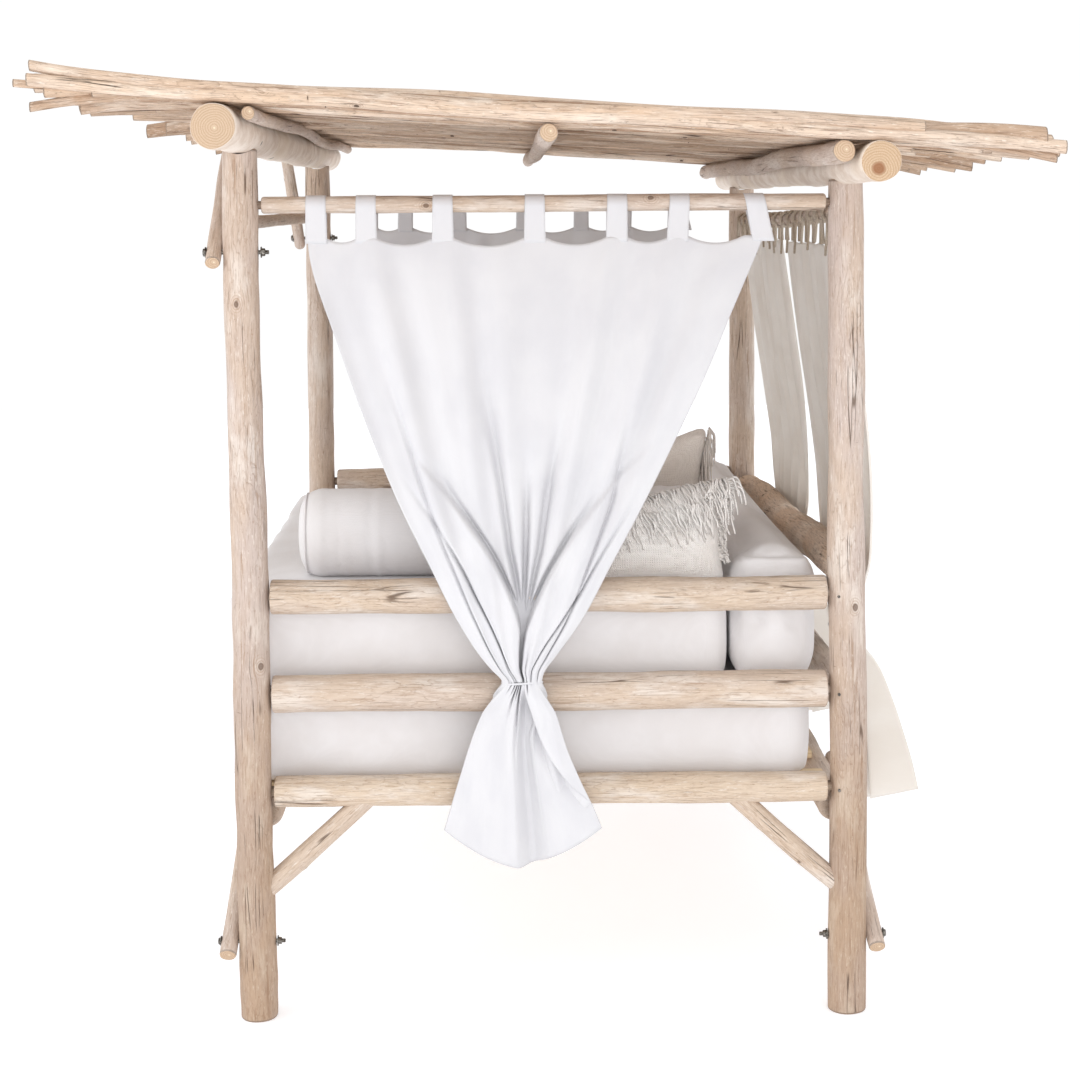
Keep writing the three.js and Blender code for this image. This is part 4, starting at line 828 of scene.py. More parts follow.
# Sticks side by side, each a tapered bent log: its middle line lies one radius above the roof
# plane, wanders sideways, and leaves the plane past the beams as a square of the overhang. All
# sticks of a panel are one mesh.
def makeRoof():
    y0 = -bed["halfDepth"] + np.sin(roof["slope"]) * roof["lift"]
    z0 = roof["frontHeight"] + np.cos(roof["slope"]) * roof["lift"]
    for panel in range(roof["panels"]):
        dice = np.random.default_rng(900 + panel)
        radius, x, frontCut, backCut, tipLift, tailLift, over, tone = stickColumns(panel, dice)[..., None]
        count = len(x)
        serial = panel * 40 + np.arange(count)
        t = np.linspace(0, 1, roof["rings"])
        t[1], t[-2] = 0.0012, 0.9988
        # sawn faces: three rings at each end shrink to the pole
        t = np.concatenate([[0] * 3, t, [1] * 3])
        shareIn = np.ones(len(t))
        shareIn[:4], shareIn[-4:] = [0.3, 0.7, 0.94, 0.985], [0.985, 0.94, 0.7, 0.3]
        front = -roof["depth"] / 2 + frontCut
        y = front + (roof["depth"] / 2 - backCut - front) * t
        taper = 1 - 0.14 * t * dice.choice([1, -0.6], count)[:, None]
        wander, bob, swell = (
            np.stack([waves(row, 1000 + number * 3 + kind, slow, fast) for row, number in zip(y, serial)])
            for kind, slow, fast in ((0, 0.2, 1.3), (1, 0.3, 1.6), (2, 1.0, 4.0)))
        r = (radius * roof["fat"] * taper * (1 + 0.06 * swell) * shareIn)[..., None]
        past = (np.maximum(-y - bed["halfDepth"], 0) / 0.4) ** 2
        behind = (np.maximum(y - bed["halfDepth"], 0) / 0.4) ** 2
        z = z0 - np.tan(roof["slope"]) * (y - y0) + radius * taper
        z = z + over + 0.0040 * (1 + bob) + tipLift * past + tailLift * behind
        fan = dice.uniform(-1, 1, (2, count, 1)) * roof["fan"] * (np.abs(x) <= roof["length"] / 2 - 0.045)
        common = waves(y + x * 0.4, 77, 0.2, 0.9)  # neighbours bend together
        edge = roof["length"] / 2 - radius
        x = np.clip(x + 0.008 * common + 0.0018 * wander + fan[0] * past + fan[1] * behind, -edge, edge)
        angle = roundTurn(roof["sides"])
        serial = serial[:, None, None]
        lump = 1 + 0.07 * np.cos(3 * angle + serial + 6 * y[..., None])
        # along +Y the ring turns from Z to X, which is anticlockwise seen from +Y
        acrossX, acrossZ = r * np.sin(angle), r * np.cos(angle)
        deep = np.broadcast_to(y[..., None], acrossX.shape)
        rings = np.stack([x[..., None] + acrossX * lump, deep, z[..., None] + acrossZ * lump], -1)
        grain = np.stack([acrossZ + serial * 0.31, acrossX + serial * 0.17, deep + serial * 2.3], -1)
        flat = np.stack([acrossZ, acrossX, 0 * deep], -1)
        grain[:, :4], grain[:, -4:] = flat[:, :4], flat[:, -4:]
        knotAt, knotTurn = dice.uniform(-0.95, 0.95, (count, 3)), dice.uniform(0, 2 * np.pi, (count, 3))
        nearest = np.full(deep.shape, 1e3)
        knotPlace = np.full(rings.shape, 9.0)
        for at, turn in zip(knotAt.T[..., None, None], knotTurn.T[..., None, None]):
            ds = (deep - at) / 0.011
            da = ((angle - turn + np.pi) % (2 * np.pi) - np.pi) * radius[..., None] / 0.008 + 0 * ds
            apart = np.hypot(ds, da)
            knotPlace = np.where((apart < nearest)[..., None], np.stack([ds, da, 0 * ds], -1), knotPlace)
            nearest = np.minimum(apart, nearest)
        node = f"roof_panel_{panel + 1}"
        piece = makeSkins(f"{node}_sticks", rings, 3, ["peeledStick", "sawnEnd"], "frame", (node,),
                          "roof_sticks", {"grainPlace": grain, "knotPlace": knotPlace})
        tone = np.concatenate([np.repeat(tone, rings[0, ..., 0].size), np.repeat(tone, 2)])
        addAttribute(piece.data, "tone", tone)
    print("roof made")


makeRoof()


bolts = {
    "shank": 0.005, "washer": 0.013, "washerWall": 0.002, "hex": 0.0092, "head": 0.006, "nut": 0.008,
    "end": 0.009, "thread": 0.0008, "around": 48,
}


# A bolt along Y, as a profile turned round its axis: each mark has the way in from the outer end,
# the share of the radius and its kind. A hexagon's radius r(a) = across / cos(a mod 60 degrees -
# 30 degrees) makes the head and the nut.
def makeBolts():
    b = bolts
    for number, (front, end) in enumerate(corners):
        for kind in ("low", "knee")[:1 if front == "back" else 2]:
            node = f"{front}_{end}_{kind}_brace_bolt"
            low, high = boxOf(node)
            x, _, z = (low + high) / 2
            out, span = fronts[front], high[1] - low[1]
            washer, nutEnd = b["head"] + b["washerWall"], span - b["end"]
            nut = nutEnd - b["nut"]
            grip = nut - b["washerWall"]
            marks = [
                (0, 0.6, "hex"), (0.0008, 0.93, "hex"), (0.0018, 1, "hex"), (b["head"], 1, "hex"),
                (b["head"], 1, "washer"), (washer, 1, "washer"), (washer, 1, "shank"),
                (grip, 1, "shank"), (grip, 1, "washer"), (nut, 1, "washer"),
                (nut, 1, "hex"), (nutEnd - 0.001, 1, "hex"), (nutEnd, 0.93, "hex"), (nutEnd, 1, "shank"),
                *[(nutEnd + b["thread"] * i, 1 if i % 2 else 0.9, "shank") for i in range(1, 10)],
                (span - 0.0008, 0.95, "shank"), (span, 0.75, "shank"),
            ]
            angle, plain = roundTurn(b["around"]), np.ones(b["around"])
            hexagon = np.cos(np.pi / 6) / np.cos((angle + number) % (np.pi / 3) - np.pi / 6)
            radius = np.array([share * b[sort] * (hexagon if sort == "hex" else plain)
                               for _, share, sort in marks])
            y = (high if out > 0 else low)[1] - out * np.array([mark[:1] for mark in marks])
            across, up = x - out * radius * np.sin(angle), z + radius * np.cos(angle)
            ring = np.stack(np.broadcast_arrays(across, y, up), -1)
            makeSkins(f"{node}_steel", ring[None], 0, ["zincSteel"], "frame", (node,), "bolt_steel")


screws = {
    "heights": {"front": (1.030, 0.800, 0.553), "back": (1.034, 0.796, 0.560)},
    "turn": 0.55,  # from +X towards the inside of the end
    "radius": 0.0042,
    # way out from the post's surface and share of the radius
    "profile": [(-0.004, 0.6), (0.0002, 1.0), (0.0012, 0.85), (0.0016, 0.4)],
}


# Countersunk screw heads that pin the right end's tenons: small domes sunk in the posts.
def makeScrews():
    rings = []
    angle = roundTurn(20)[:, None]
    for front, heights in screws["heights"].items():
        turn = fronts[front] * -screws["turn"]
        out = np.array([np.cos(turn), np.sin(turn), 0])
        side = np.array([-np.sin(turn), np.cos(turn), 0])
        spoke = screws["radius"] * (np.cos(angle) * side + np.sin(angle) * [0, 0, 1])
        dome = [out * (rails["postRadius"] + high) + share * spoke for high, share in screws["profile"]]
        rings += [postAxis(front, "right", z) + np.array(dome) for z in heights]
    makeSkins("rail_screws", np.array(rings), 0, ["zincSteel"], "frame", (), "bolt_steel")


makeBolts()
makeScrews()
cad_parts["slatted_base"].data.materials.clear()
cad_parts["slatted_base"].data.materials.append(finishes["sawnPine"])
print("bolts made")


# A boxed cushion as a stack of rings. Ring outline: a rectangle with round corners whose sides
# are drawn in by drawIn (1 - share^2). Side profile: a half superellipse between the edges. Top:
# rings shrink to the middle and rise by crown (1 - (1 - shrink)^power).
def roundedBox(low, high, shape):
    size = high - low
    tall = size[2] - shape["crown"]
    z = tall * (1 - np.cos(np.pi * np.linspace(0, 1, shape["sideRings"]))) / 2
    inset = shape["edge"] * (1 - (1 - np.abs(2 * z / tall - 1) ** shape["square"]) ** (1 / shape["square"]))
    shrink = np.linspace(0, 1, shape["topRings"] + 1)[1:-1] ** 1.15
    topInset = inset[-1] + shrink * (min(size[:2]) / 2 - inset[-1] - 0.004)
    topZ = tall + shape["crown"] * (1 - (1 - shrink) ** shape["crownPower"])
    gaps = np.concatenate([topInset[::-1], inset, topInset])[:, None]
    heights = np.concatenate([0 * topZ, z, topZ])[:, None]
    # each quarter starts in the middle of a side, which lies along Y in the even quarters
    share = (np.arange(shape["around"]) + 0.5) / shape["around"] * 4
    quarter = np.floor(share).astype(int)
    even = quarter % 2 == 0
    halfX, halfY = size[0] / 2 - gaps, size[1] / 2 - gaps
    bow = np.minimum(np.minimum(np.maximum(shape["corner"] - gaps * 0.5, 0.004), halfX), halfY)
    straightX, straightY, arc = halfX - bow, halfY - bow, np.pi / 2 * bow
    along = (share - quarter) * (straightX + straightY + arc)
    firstLong = np.where(even, straightY, straightX)
    first = np.minimum(along, firstLong)
    bend = np.clip((along - firstLong) / arc, 0, 1) * np.pi / 2
    rest = np.maximum(along - firstLong - arc, 0)
    rising, falling = first + bow * np.sin(bend), bow * np.cos(bend) - bow - rest
    px = np.where(even, halfX + falling, rising)
    py = np.where(even, rising, halfY + falling)
    onX = np.clip(1 - (py / halfY) ** 2, 0, 1) * (px > halfX - bow * 0.5)
    onY = np.clip(1 - (px / halfX) ** 2, 0, 1) * (py > halfY - bow * 0.5)
    signX, signY = np.array([[1, -1, -1, 1], [1, 1, -1, -1]])[:, quarter]
    px, py = signX * (px - shape["drawIn"] * onX), signY * (py - shape["drawIn"] * onY)
    return np.stack([px, py, heights + 0 * px], -1) + [*((low + high) / 2)[:2], low[2]]


# Fills a closed shape like a stuffed cover: remesh, then cloth with inner pressure for 20 frames,
# no point moving more than the cap.
def swell(piece, recipe):
    scene = bpy.context.scene
    mesh = piece.data
    grid = piece.modifiers.new("grid", "REMESH")
    grid.mode, grid.voxel_size = "VOXEL", recipe["voxel"]
    even = bpy.data.meshes.new_from_object(piece.evaluated_get(bpy.context.evaluated_depsgraph_get()))
    piece.modifiers.clear()
    if not even.materials:
        even.materials.append(mesh.materials[0])
    piece.data = even
    points = pointsOf(even)
    cloth = piece.modifiers.new("cover", "CLOTH")
    cloth.settings.quality = 4
    cloth.settings.use_pressure = True
    cloth.settings.uniform_pressure_force = recipe["pressure"]
    cloth.settings.tension_stiffness = 12
    cloth.settings.effector_weights.gravity = 0
    cloth.collision_settings.use_collision = False
    cloth.point_cache.frame_start, cloth.point_cache.frame_end = 1, 20
    for step in range(1, 21):
        scene.frame_set(step)
    blown = bpy.data.meshes.new_from_object(piece.evaluated_get(bpy.context.evaluated_depsgraph_get()))
    move = pointsOf(blown) - points
    piece.modifiers.clear()
    bpy.data.meshes.remove(blown)
    far = np.linalg.norm(move, axis=1, keepdims=True)
    points = points + move * np.minimum(1, recipe["cap"] / np.maximum(far, 1e-9))
    scene.frame_set(1)
    return points


# Puts the points back, kept inside the box and its margin, and smooths the mesh once.
def settle(piece, points, low, high, margin):
    points = np.clip(points, low - [margin, margin, 0], high + margin)
    piece.data.vertices.foreach_set("co", points.astype(np.float32).ravel())
    piece.data.polygons.foreach_set("use_smooth", np.ones(len(piece.data.polygons), bool))
    piece.data.update()
    fine = piece.modifiers.new("fine", "SUBSURF")
    fine.levels = fine.render_levels = 1


def makeCover(node, rings, material, slot):
    return makeSkins(f"{node}_cover", rings[None], 0, [material], node, (node,), slot, smoothCaps=True)


mattresses = {
    "around": 260, "sideRings": 22, "topRings": 14, "corner": 0.060, "edge": 0.040, "square": 4.2,
    "drawIn": 0.006, "crown": 0.012, "crownPower": 3.0, "voxel": 0.018, "pressure": 3.0, "cap": 0.010,
    "crease": 0.0022, "hollow": 0.003,
}


# Low creases in the sides, pushed outwards from the middle: the product of two wandering waves.
def makeMattresses():
    for node, seed, change in (("lower_mattress", 61, {"crown": 0.001}), ("upper_mattress", 67, {})):
        low, high = boxOf(node)
        piece = makeCover(node, roundedBox(low, high, {**mattresses, **change}), "cottonCanvas", "canvas")
        points = swell(piece, mattresses)
        x, y, z = points.T
        centre = (low + high) / 2
        away = (points - centre) * [1, 1, 0]
        away /= np.maximum(np.linalg.norm(away, axis=1, keepdims=True), 1e-6)
        sides = np.abs(z - centre[2]) < (high[2] - low[2]) * 0.42
        push = mattresses["crease"] * waves(x + z, seed, 1.5, 7.0) * waves(y - z, seed + 1, 1.5, 7.0) * sides
        points = points + push[:, None] * away
        if node == "upper_mattress":
            hollow = mattresses["hollow"] * waves(points[:, 0], 71, 0.8, 3) * waves(points[:, 1], 72, 0.8, 3)
            points[:, 2] += hollow * (points[:, 2] > high[2] - 0.03)
        settle(piece, points, low, high, 0.004)
    print("mattresses made")


cushion = {
    "around": 220, "sideRings": 20, "topRings": 10, "corner": 0.042, "edge": 0.036, "square": 3.8,
    "drawIn": 0.005, "crown": 0.030, "crownPower": 2.2, "voxel": 0.011, "pressure": 4.0, "cap": 0.011,
    "inset": 0.006,
}


def makeBackCushion():
    low, high = boxOf("back_cushion")
    inset = cushion["inset"]
    rings = roundedBox(low + [inset, inset, 0], high - inset, cushion)
    piece = makeCover("back_cushion", rings, "cottonCanvas", "canvas")
    points = swell(piece, cushion)
    # pleats at the two ends: ridges that fan out from the top corners
    for end in (1, -1):
        away = points - [end * high[0], (low[1] + high[1]) / 2, high[2] - 0.05]
        near = np.exp(-(np.linalg.norm(away, axis=1) / 0.12) ** 2)
        fan = np.arctan2(away[:, 2], away[:, 1])
        points[:, 0] += end * 0.0045 * near * np.sin(11 * fan)
        points[:, 1] += 0.003 * near * np.sin(13 * fan + 1)
    settle(piece, points, low, high, 0.003)


bolster = {
    "radius": 0.115, "dome": 0.054, "tip": 0.42, "around": 96, "rings": 190, "flat": 0.005,
    "piping": 0.0022, "pipingAt": 0.020, "voxel": 0.0085, "pressure": 3.0, "cap": 0.006,
}


# A drum along Y: radius r(y) with domed ends and shallow creases 25 to 125 mm apart, cut flat
# where it lies. Piping is a thin ring round each rim.
def makeBolster():
    low, high = boxOf("bolster")
    b = bolster
    x, z = (low[0] + high[0]) / 2, low[2] + b["radius"] - b["flat"]
    length = high[1] - low[1]
    turn = np.linspace(0, np.pi / 2, 10)
    endAt = np.concatenate([[0, 0, 0], b["dome"] * (1 - np.cos(turn))])
    flatEnd = b["tip"] * np.array([0.25, 0.55, 0.85])
    endSize = np.concatenate([flatEnd, b["tip"] + (1 - b["tip"]) * np.sin(turn)])
    middle = np.linspace(b["dome"], length - b["dome"], b["rings"])[1:-1]
    at = np.concatenate([endAt, middle, length - endAt[::-1]])
    size = np.concatenate([endSize, np.ones(len(middle)), endSize[::-1]])[:, None]
    s, a = np.meshgrid(at, roundTurn(b["around"]), indexing="ij")
    crease = waves(s, 81, 8, 38, 7) * (0.6 + 0.4 * np.cos(a + 3 * waves(s, 82, 1, 3)))
    r = (b["radius"] - 0.003) * size + 0.0016 * crease * (size > 0.9)
    rings = np.stack([x + r * np.sin(a), low[1] + s, np.maximum(z + r * np.cos(a), low[2])], -1)
    piece = makeCover("bolster", rings, "cottonCanvas", "canvas")
    settle(piece, swell(piece, b), low, high, 0.003)
    around, section = roundTurn(120)[:, None], roundTurn(8)
    rim = b["tip"] + (1 - b["tip"]) * np.sin(np.arccos(1 - b["pipingAt"] / b["dome"]))
    wide = b["radius"] * rim + 0.0005 + b["piping"] * np.cos(section)
    across, up = x + wide * np.sin(around), np.maximum(z + wide * np.cos(around), low[2] + 0.001)
    loops = [np.stack(np.broadcast_arrays(across, y + b["piping"] * np.sin(section), up), -1)
             for y in (low[1] + b["pipingAt"], high[1] - b["pipingAt"])]
    makeLoops("bolster_piping", np.array(loops), "cottonCanvas", "bolster", "canvas", ())
    print("bolster made")


# Closed tubes: loops[k, i, j] is point j of the section at step i round loop k.
def makeLoops(name, loops, material, body, slot, replaces):
    index = np.arange(loops[..., 0].size).reshape(loops.shape[:3])
    onward, ahead = np.roll(index, -1, axis=1), np.roll(index, -1, axis=2)
    quads = np.stack([index, onward, np.roll(onward, -1, axis=2), ahead], -1).reshape(-1, 4)
    return finishMesh(newMesh(name, loops, quads.tolist()), name, [material], body, replaces, slot)


# Threads: each is a thin tube along paths[k, i], with a round section that turns with the path.
def makeStrands(name, paths, radius, material, body, slot, sides=5):
    tangent = np.gradient(paths, axis=1)
    tangent /= np.maximum(np.linalg.norm(tangent, axis=2, keepdims=True), 1e-9)
    side = np.cross(tangent, [0.31, 0.87, 0.38])
    side /= np.linalg.norm(side, axis=2, keepdims=True)
    over = np.cross(tangent, side)[:, :, None]
    angle = roundTurn(sides)[:, None]
    size = radius * np.linspace(1, 0.75, paths.shape[1])[:, None, None]
    rings = paths[:, :, None] + size * (np.cos(angle) * side[:, :, None] + np.sin(angle) * over)
    return makeSkins(name, rings, 0, [material], body, (), slot, smoothCaps=True)


pillows = {
    "fringed_pillow": {
        "length": 0.470, "height": 0.268, "thick": 0.100, "lean": -9, "drawIn": 0.08, "sag": 0.080,
        "peak": -0.004, "material": "fringeCotton",
    },
    "square_pillow": {
        "length": 0.388, "height": 0.352, "thick": 0.120, "lean": 10, "drawIn": 0.12, "sag": 0.110,
        "peak": 0.016, "material": "jutePale",
    },
    "voxel": 0.006, "pressure": 3.0, "cap": 0.004,
}


# Turns the pillow's own length, height and thickness into the bed's place: centre of the node's
# box, leaning about Y. u runs along Y, v up and w out along X, in metres from the middle, and the
# top sags away from +Y.
def pillowPlace(node):
    spec = pillows[node]
    centre = sum(boxOf(node)) / 2
    cosLean, sinLean = np.cos(np.radians(spec["lean"])), np.sin(np.radians(spec["lean"]))

    def place(u, v, w):
        sag = spec["sag"] * easeIn(0.52 - 1.04 * u / spec["length"]) - spec["peak"]
        v = v - sag * np.clip(0.5 + v / spec["height"], 0, 1) ** 1.5
        return centre + np.stack([w * cosLean + v * sinLean, u, v * cosLean - w * sinLean], -1)

    return place


# P(u, v) = (half length u, half height v) drawn in between the corners, and half the thickness
# times sqrt((1 - u^4)(1 - v^4)) to each side, as a closed skin of rings that go round the rim
# line. The outline is a superellipse of power 12.
def makePillows():
    around, half = 132, 20
    turn = roundTurn(around)
    grow = 1 / (np.cos(turn) ** 12 + np.sin(turn) ** 12) ** (1 / 12)
    shares = np.concatenate([np.linspace(0.03, 1, half), np.linspace(1, 0.03, half)[1:]])[:, None]
    side = np.concatenate([-np.ones(half), np.ones(half - 1)])[:, None]
    u, v = shares * (np.cos(turn) * grow), shares * (np.sin(turn) * grow)
    full = np.sqrt(np.clip((1 - u**4) * (1 - v**4), 0, 1))
    for node in ("fringed_pillow", "square_pillow"):
        spec = pillows[node]
        low, high = boxOf(node)
        y = spec["length"] / 2 * u * (1 - spec["drawIn"] * (1 - np.clip(v, -1, 1) ** 2))
        z = spec["height"] / 2 * v * (1 - spec["drawIn"] * (1 - np.clip(u, -1, 1) ** 2))
        rings = pillowPlace(node)(y, z, side * (spec["thick"] / 2 - 0.004) * full)
        piece = makeCover(node, rings, spec["material"], "woven_cotton")
        points = swell(piece, pillows)
        _, y, z = (points - (low + high) / 2).T
        points[:, 0] += 0.0015 * waves(y * 1.2 + z, 90, 3, 14) * waves(z * 1.2 - y, 91, 3, 14)
        settle(piece, points, low, high, 0.004)
    print("pillows made")


fringe = {
    # rows over the near face: threads, length, start up the face, reach outwards and drift
    "rows": ((90, 0.050, 0.99, 0.048, 0.75), (84, 0.100, 0.96, 0.056, 0.62), (44, 0.075, 0.55, 0.013, 0.45)),
    "curls": 46, "topTassel": 64, "lowTassel": 14, "thread": 0.0028, "tasselThread": 0.0024,
}


# The fringed pillow's threads start along its top and back edges, lean over the near face and
# hang. Each path is a quarter turn outwards and then a fall with a small sway.
def makeFringe():
    place = pillowPlace("fringed_pillow")
    spec = pillows["fringed_pillow"]
    dice = np.random.default_rng(7)
    t = np.linspace(0, 1, 12)
    quarterTurn = np.sin(t * np.pi / 2)
    half, high, thick = spec["length"] / 2, spec["height"] / 2, spec["thick"] / 2
    paths = []

    def addThreads(starts, *offsets):
        paths.append(starts[:, None] + np.stack(np.broadcast_arrays(*offsets), -1))

    for count, fall, start, out, drift in fringe["rows"]:
        edge = start > 0.9
        share = np.linspace(-0.97, 0.97, count) * (1 if edge else 0.86) + dice.normal(0, 0.006, count)
        v = start * high * (1 - 0.08 * (1 - share**2) * edge) + dice.normal(0, 0.0 if edge else 0.012, count)
        full = thick * np.sqrt(np.clip((1 - share**4) * (1 - (v / high) ** 4), 0, 1))
        full = full * 0.2 + 0.001 if edge else full + 0.005
        starts = place(share * half * (1 - 0.08 * (1 - start**2)), v, full)
        long = fall * dice.uniform(0.65, 1.25, count)
        swing = drift * long * (1 - 0.7 * easeIn(share * 1.5 - 0.4)) + dice.normal(0, 0.008, count)
        away, rise = out * dice.uniform(0.8, 1.1, count), 0.010 * dice.uniform(0.2, 1.2, count) * edge
        long, swing, away, rise, share = np.stack([long, swing, away, rise, share])[..., None]
        wave = 0.003 * np.sin(9 * t + 30 * share)
        addThreads(starts, away * np.sin(np.clip(1.2 * t, 0, 1) * np.pi / 2) + wave, swing * t + wave,
                   rise * np.sin(np.pi * np.clip(t * 2.2, 0, 1)) - long * t**1.3)
    # back edge, towards +Y: longer curls at the top corner that turn down
    count = fringe["curls"]
    v = np.linspace(-0.5, 1.0, count)
    starts = place(half * (1 - 0.08 * (1 - v**2)) - 0.008, v * high, np.full(count, 0.004))
    v = v[:, None]
    long = dice.uniform(0.025, 0.058, count)[:, None] * (0.45 + 0.55 * easeIn(v))
    rise = 0.008 * easeIn(v * 2 - 0.8) * np.sin(np.pi * t) + 0.003 * np.sin(11 * t + 9 * v)
    outwards = 0.020 * t * dice.uniform(-0.3, 1.5, count)[:, None]
    addThreads(starts, outwards, long * quarterTurn, rise - 0.8 * long * t**2)
    makeStrands("fringed_pillow_fringe", np.concatenate(paths), fringe["thread"], "fringeCotton",
                "fringed_pillow", "woven_cotton")
    # tassels at the square pillow's corners: threads start along the last part of the side edge
    # and spread from the corner
    place = pillowPlace("square_pillow")
    spec = pillows["square_pillow"]
    half, high = spec["length"] / 2, spec["height"] / 2
    paths.clear()
    for su, sv in ((1, 1), (-1, 1), (1, -1), (-1, -1)):
        top = sv > 0
        count = fringe["topTassel" if top else "lowTassel"]
        share = dice.uniform(0.25, 0.98, count) if top else dice.uniform(0.75, 0.9, count)
        edge = 0.97 * (1 - 0.12 * (1 - share**2))
        starts = place(su * half * edge, sv * high * share * 0.97, dice.normal(0.004, 0.006, count))
        long = dice.uniform(0.030, 0.090, count) if top else dice.uniform(0.018, 0.028, count)
        spread, away = dice.normal(0, 0.008, count), su * dice.uniform(-0.004, 0.018, count)
        long, spread, away = np.stack([long, spread, away])[..., None]
        addThreads(starts, (0.014 + spread) * quarterTurn, away * np.sin(np.clip(2.5 * t, 0, 1) * np.pi / 2),
                   -long * t**1.4 * (1 if top else 0.15))
    makeStrands("square_pillow_tassels", np.concatenate(paths), fringe["tasselThread"], "jutePale",
                "square_pillow", "woven_cotton")
    print("fringe made")


makeMattresses()
makeBackCushion()
makeBolster()
makePillows()
makeFringe()


endCurtain = {
    "flat": (1.07, 1.45), "material": "whiteCotton",
    "columns": 256, "rows": 172,
    # height, left edge, right edge, stand-off and the deepest fold
    "table": [
        (1.889, -0.552, 0.514, 0.000, 0.004),
        (1.860, -0.550, 0.503, 0.002, 0.006),
        (1.806, -0.540, 0.480, 0.006, 0.009),
        (1.760, -0.526, 0.460, 0.010, 0.011),
        (1.700, -0.505, 0.434, 0.016, 0.014),
        (1.600, -0.470, 0.392, 0.027, 0.017),
        (1.430, -0.410, 0.312, 0.045, 0.020),
        (1.280, -0.349, 0.236, 0.060, 0.023),
        (1.120, -0.272, 0.150, 0.071, 0.025),
        (0.985, -0.205, 0.076, 0.0765, 0.025),
        (0.905, -0.154, 0.018, 0.0770, 0.0235),
        (0.870, -0.125, -0.007, 0.0770, 0.0215),
        (0.856, -0.111, -0.0115, 0.0765, 0.0200),
        (0.844, -0.106, -0.0130, 0.0765, 0.0195),
        (0.831, -0.115, -0.0070, 0.0765, 0.0205),
        (0.810, -0.132, 0.004, 0.0775, 0.0215),
        (0.780, -0.149, 0.016, 0.078, 0.0225),
        (0.727, -0.172, 0.032, 0.080, 0.024),
        (0.692, -0.184, 0.042, 0.081, 0.025),
        (0.604, -0.210, 0.075, 0.081, 0.025),
        (0.516, -0.234, 0.110, 0.081, 0.025),
        (0.463, -0.248, 0.128, 0.081, 0.025),
    ],
    "waist": 0.844, "hemDrop": 0.074, "hemDip": 0.0, "ply": 0.9, "gathers": 0.6,
    "seeds": {"right": 5, "left": 41},
    "broad": 6.2, "softness": 0.42,
    # the inner edges of the two ribbons that lie over the middle: way down to the tie and share
    "leftPly": ((0.40, 0.49, 0.635, 0.895, 1.0), (0.05, 0.12, 0.26, 0.525, 0.535)),
    "rightPly": ((0.45, 0.536, 0.895, 1.0), (0.94, 0.86, 0.550, 0.545)),
    # creases above the tie: three points of the line (way down, share), the depth and the width
    "creases": [
        (0.50, 0.04, 0.80, 0.20, 1.0, 0.36, 0.7, 0.008), (0.20, 0.10, 0.70, 0.12, 1.0, 0.17, 0.4, 0.009),
        (0.52, 0.975, 0.80, 0.89, 1.0, 0.72, 0.7, 0.008), (0.30, 0.80, 0.6, 0.87, 1.0, 0.88, 0.35, 0.009),
        (0.47, 0.14, 0.635, 0.28, 0.895, 0.540, 1.2, 0.012),
        (0.52, 0.84, 0.62, 0.765, 0.895, 0.535, 1.2, 0.012),
        (0.24, 0.37, 0.70, 0.44, 0.89, 0.53, 0.9, 0.018), (0.36, 0.62, 0.70, 0.60, 0.89, 0.54, 0.9, 0.016),
        (0.44, 0.51, 0.80, 0.525, 1.0, 0.54, 1.1, 0.014),
        (0.82, 0.28, 0.92, 0.30, 1.0, 0.30, 0.6, 0.008), (0.86, 0.62, 0.93, 0.62, 1.0, 0.62, 0.6, 0.008),
    ],
    # creases below the tie: share of the width, depth and how far down they reach
    "pleats": [
        (0.240, 0.4, 0.04), (0.330, 0.6, 0.05), (0.385, 1.0, 0.13), (0.430, 0.9, 0.08),
        (0.475, 1.2, 0.32), (0.620, 0.6, 0.05),
    ],
    # the hem's own shape: share of the width against fold depth, outwards
    "hemShares": (0.0, 0.05, 0.16, 0.30, 0.42, 0.470, 0.490, 0.535, 0.565, 0.63, 0.72, 0.82, 0.93, 1.0),
    "hemDepths": (-0.95, -0.10, 0.45, 0.80, 0.80, 0.90, 0.55, -0.75, -0.95, -0.25, 0.10, 0.25, 0.05, -0.85),
    "foldUnder": 0.46,  # how much of the width turns back behind each side edge at the hem
    "overlap": 0.85,  # height of the layer that crosses to the right edge, against the fold depth
    "tabs": [-0.530, -0.414, -0.236, -0.022, 0.170, 0.316, 0.488],
    "tabSlant": [0.002, 0.002, 0.001, 0.0, 0.0, 0.004, -0.026],
    "tabWidth": 0.051, "rod": 1.965, "rodRadius": 0.0200, "sag": 0.020,
}
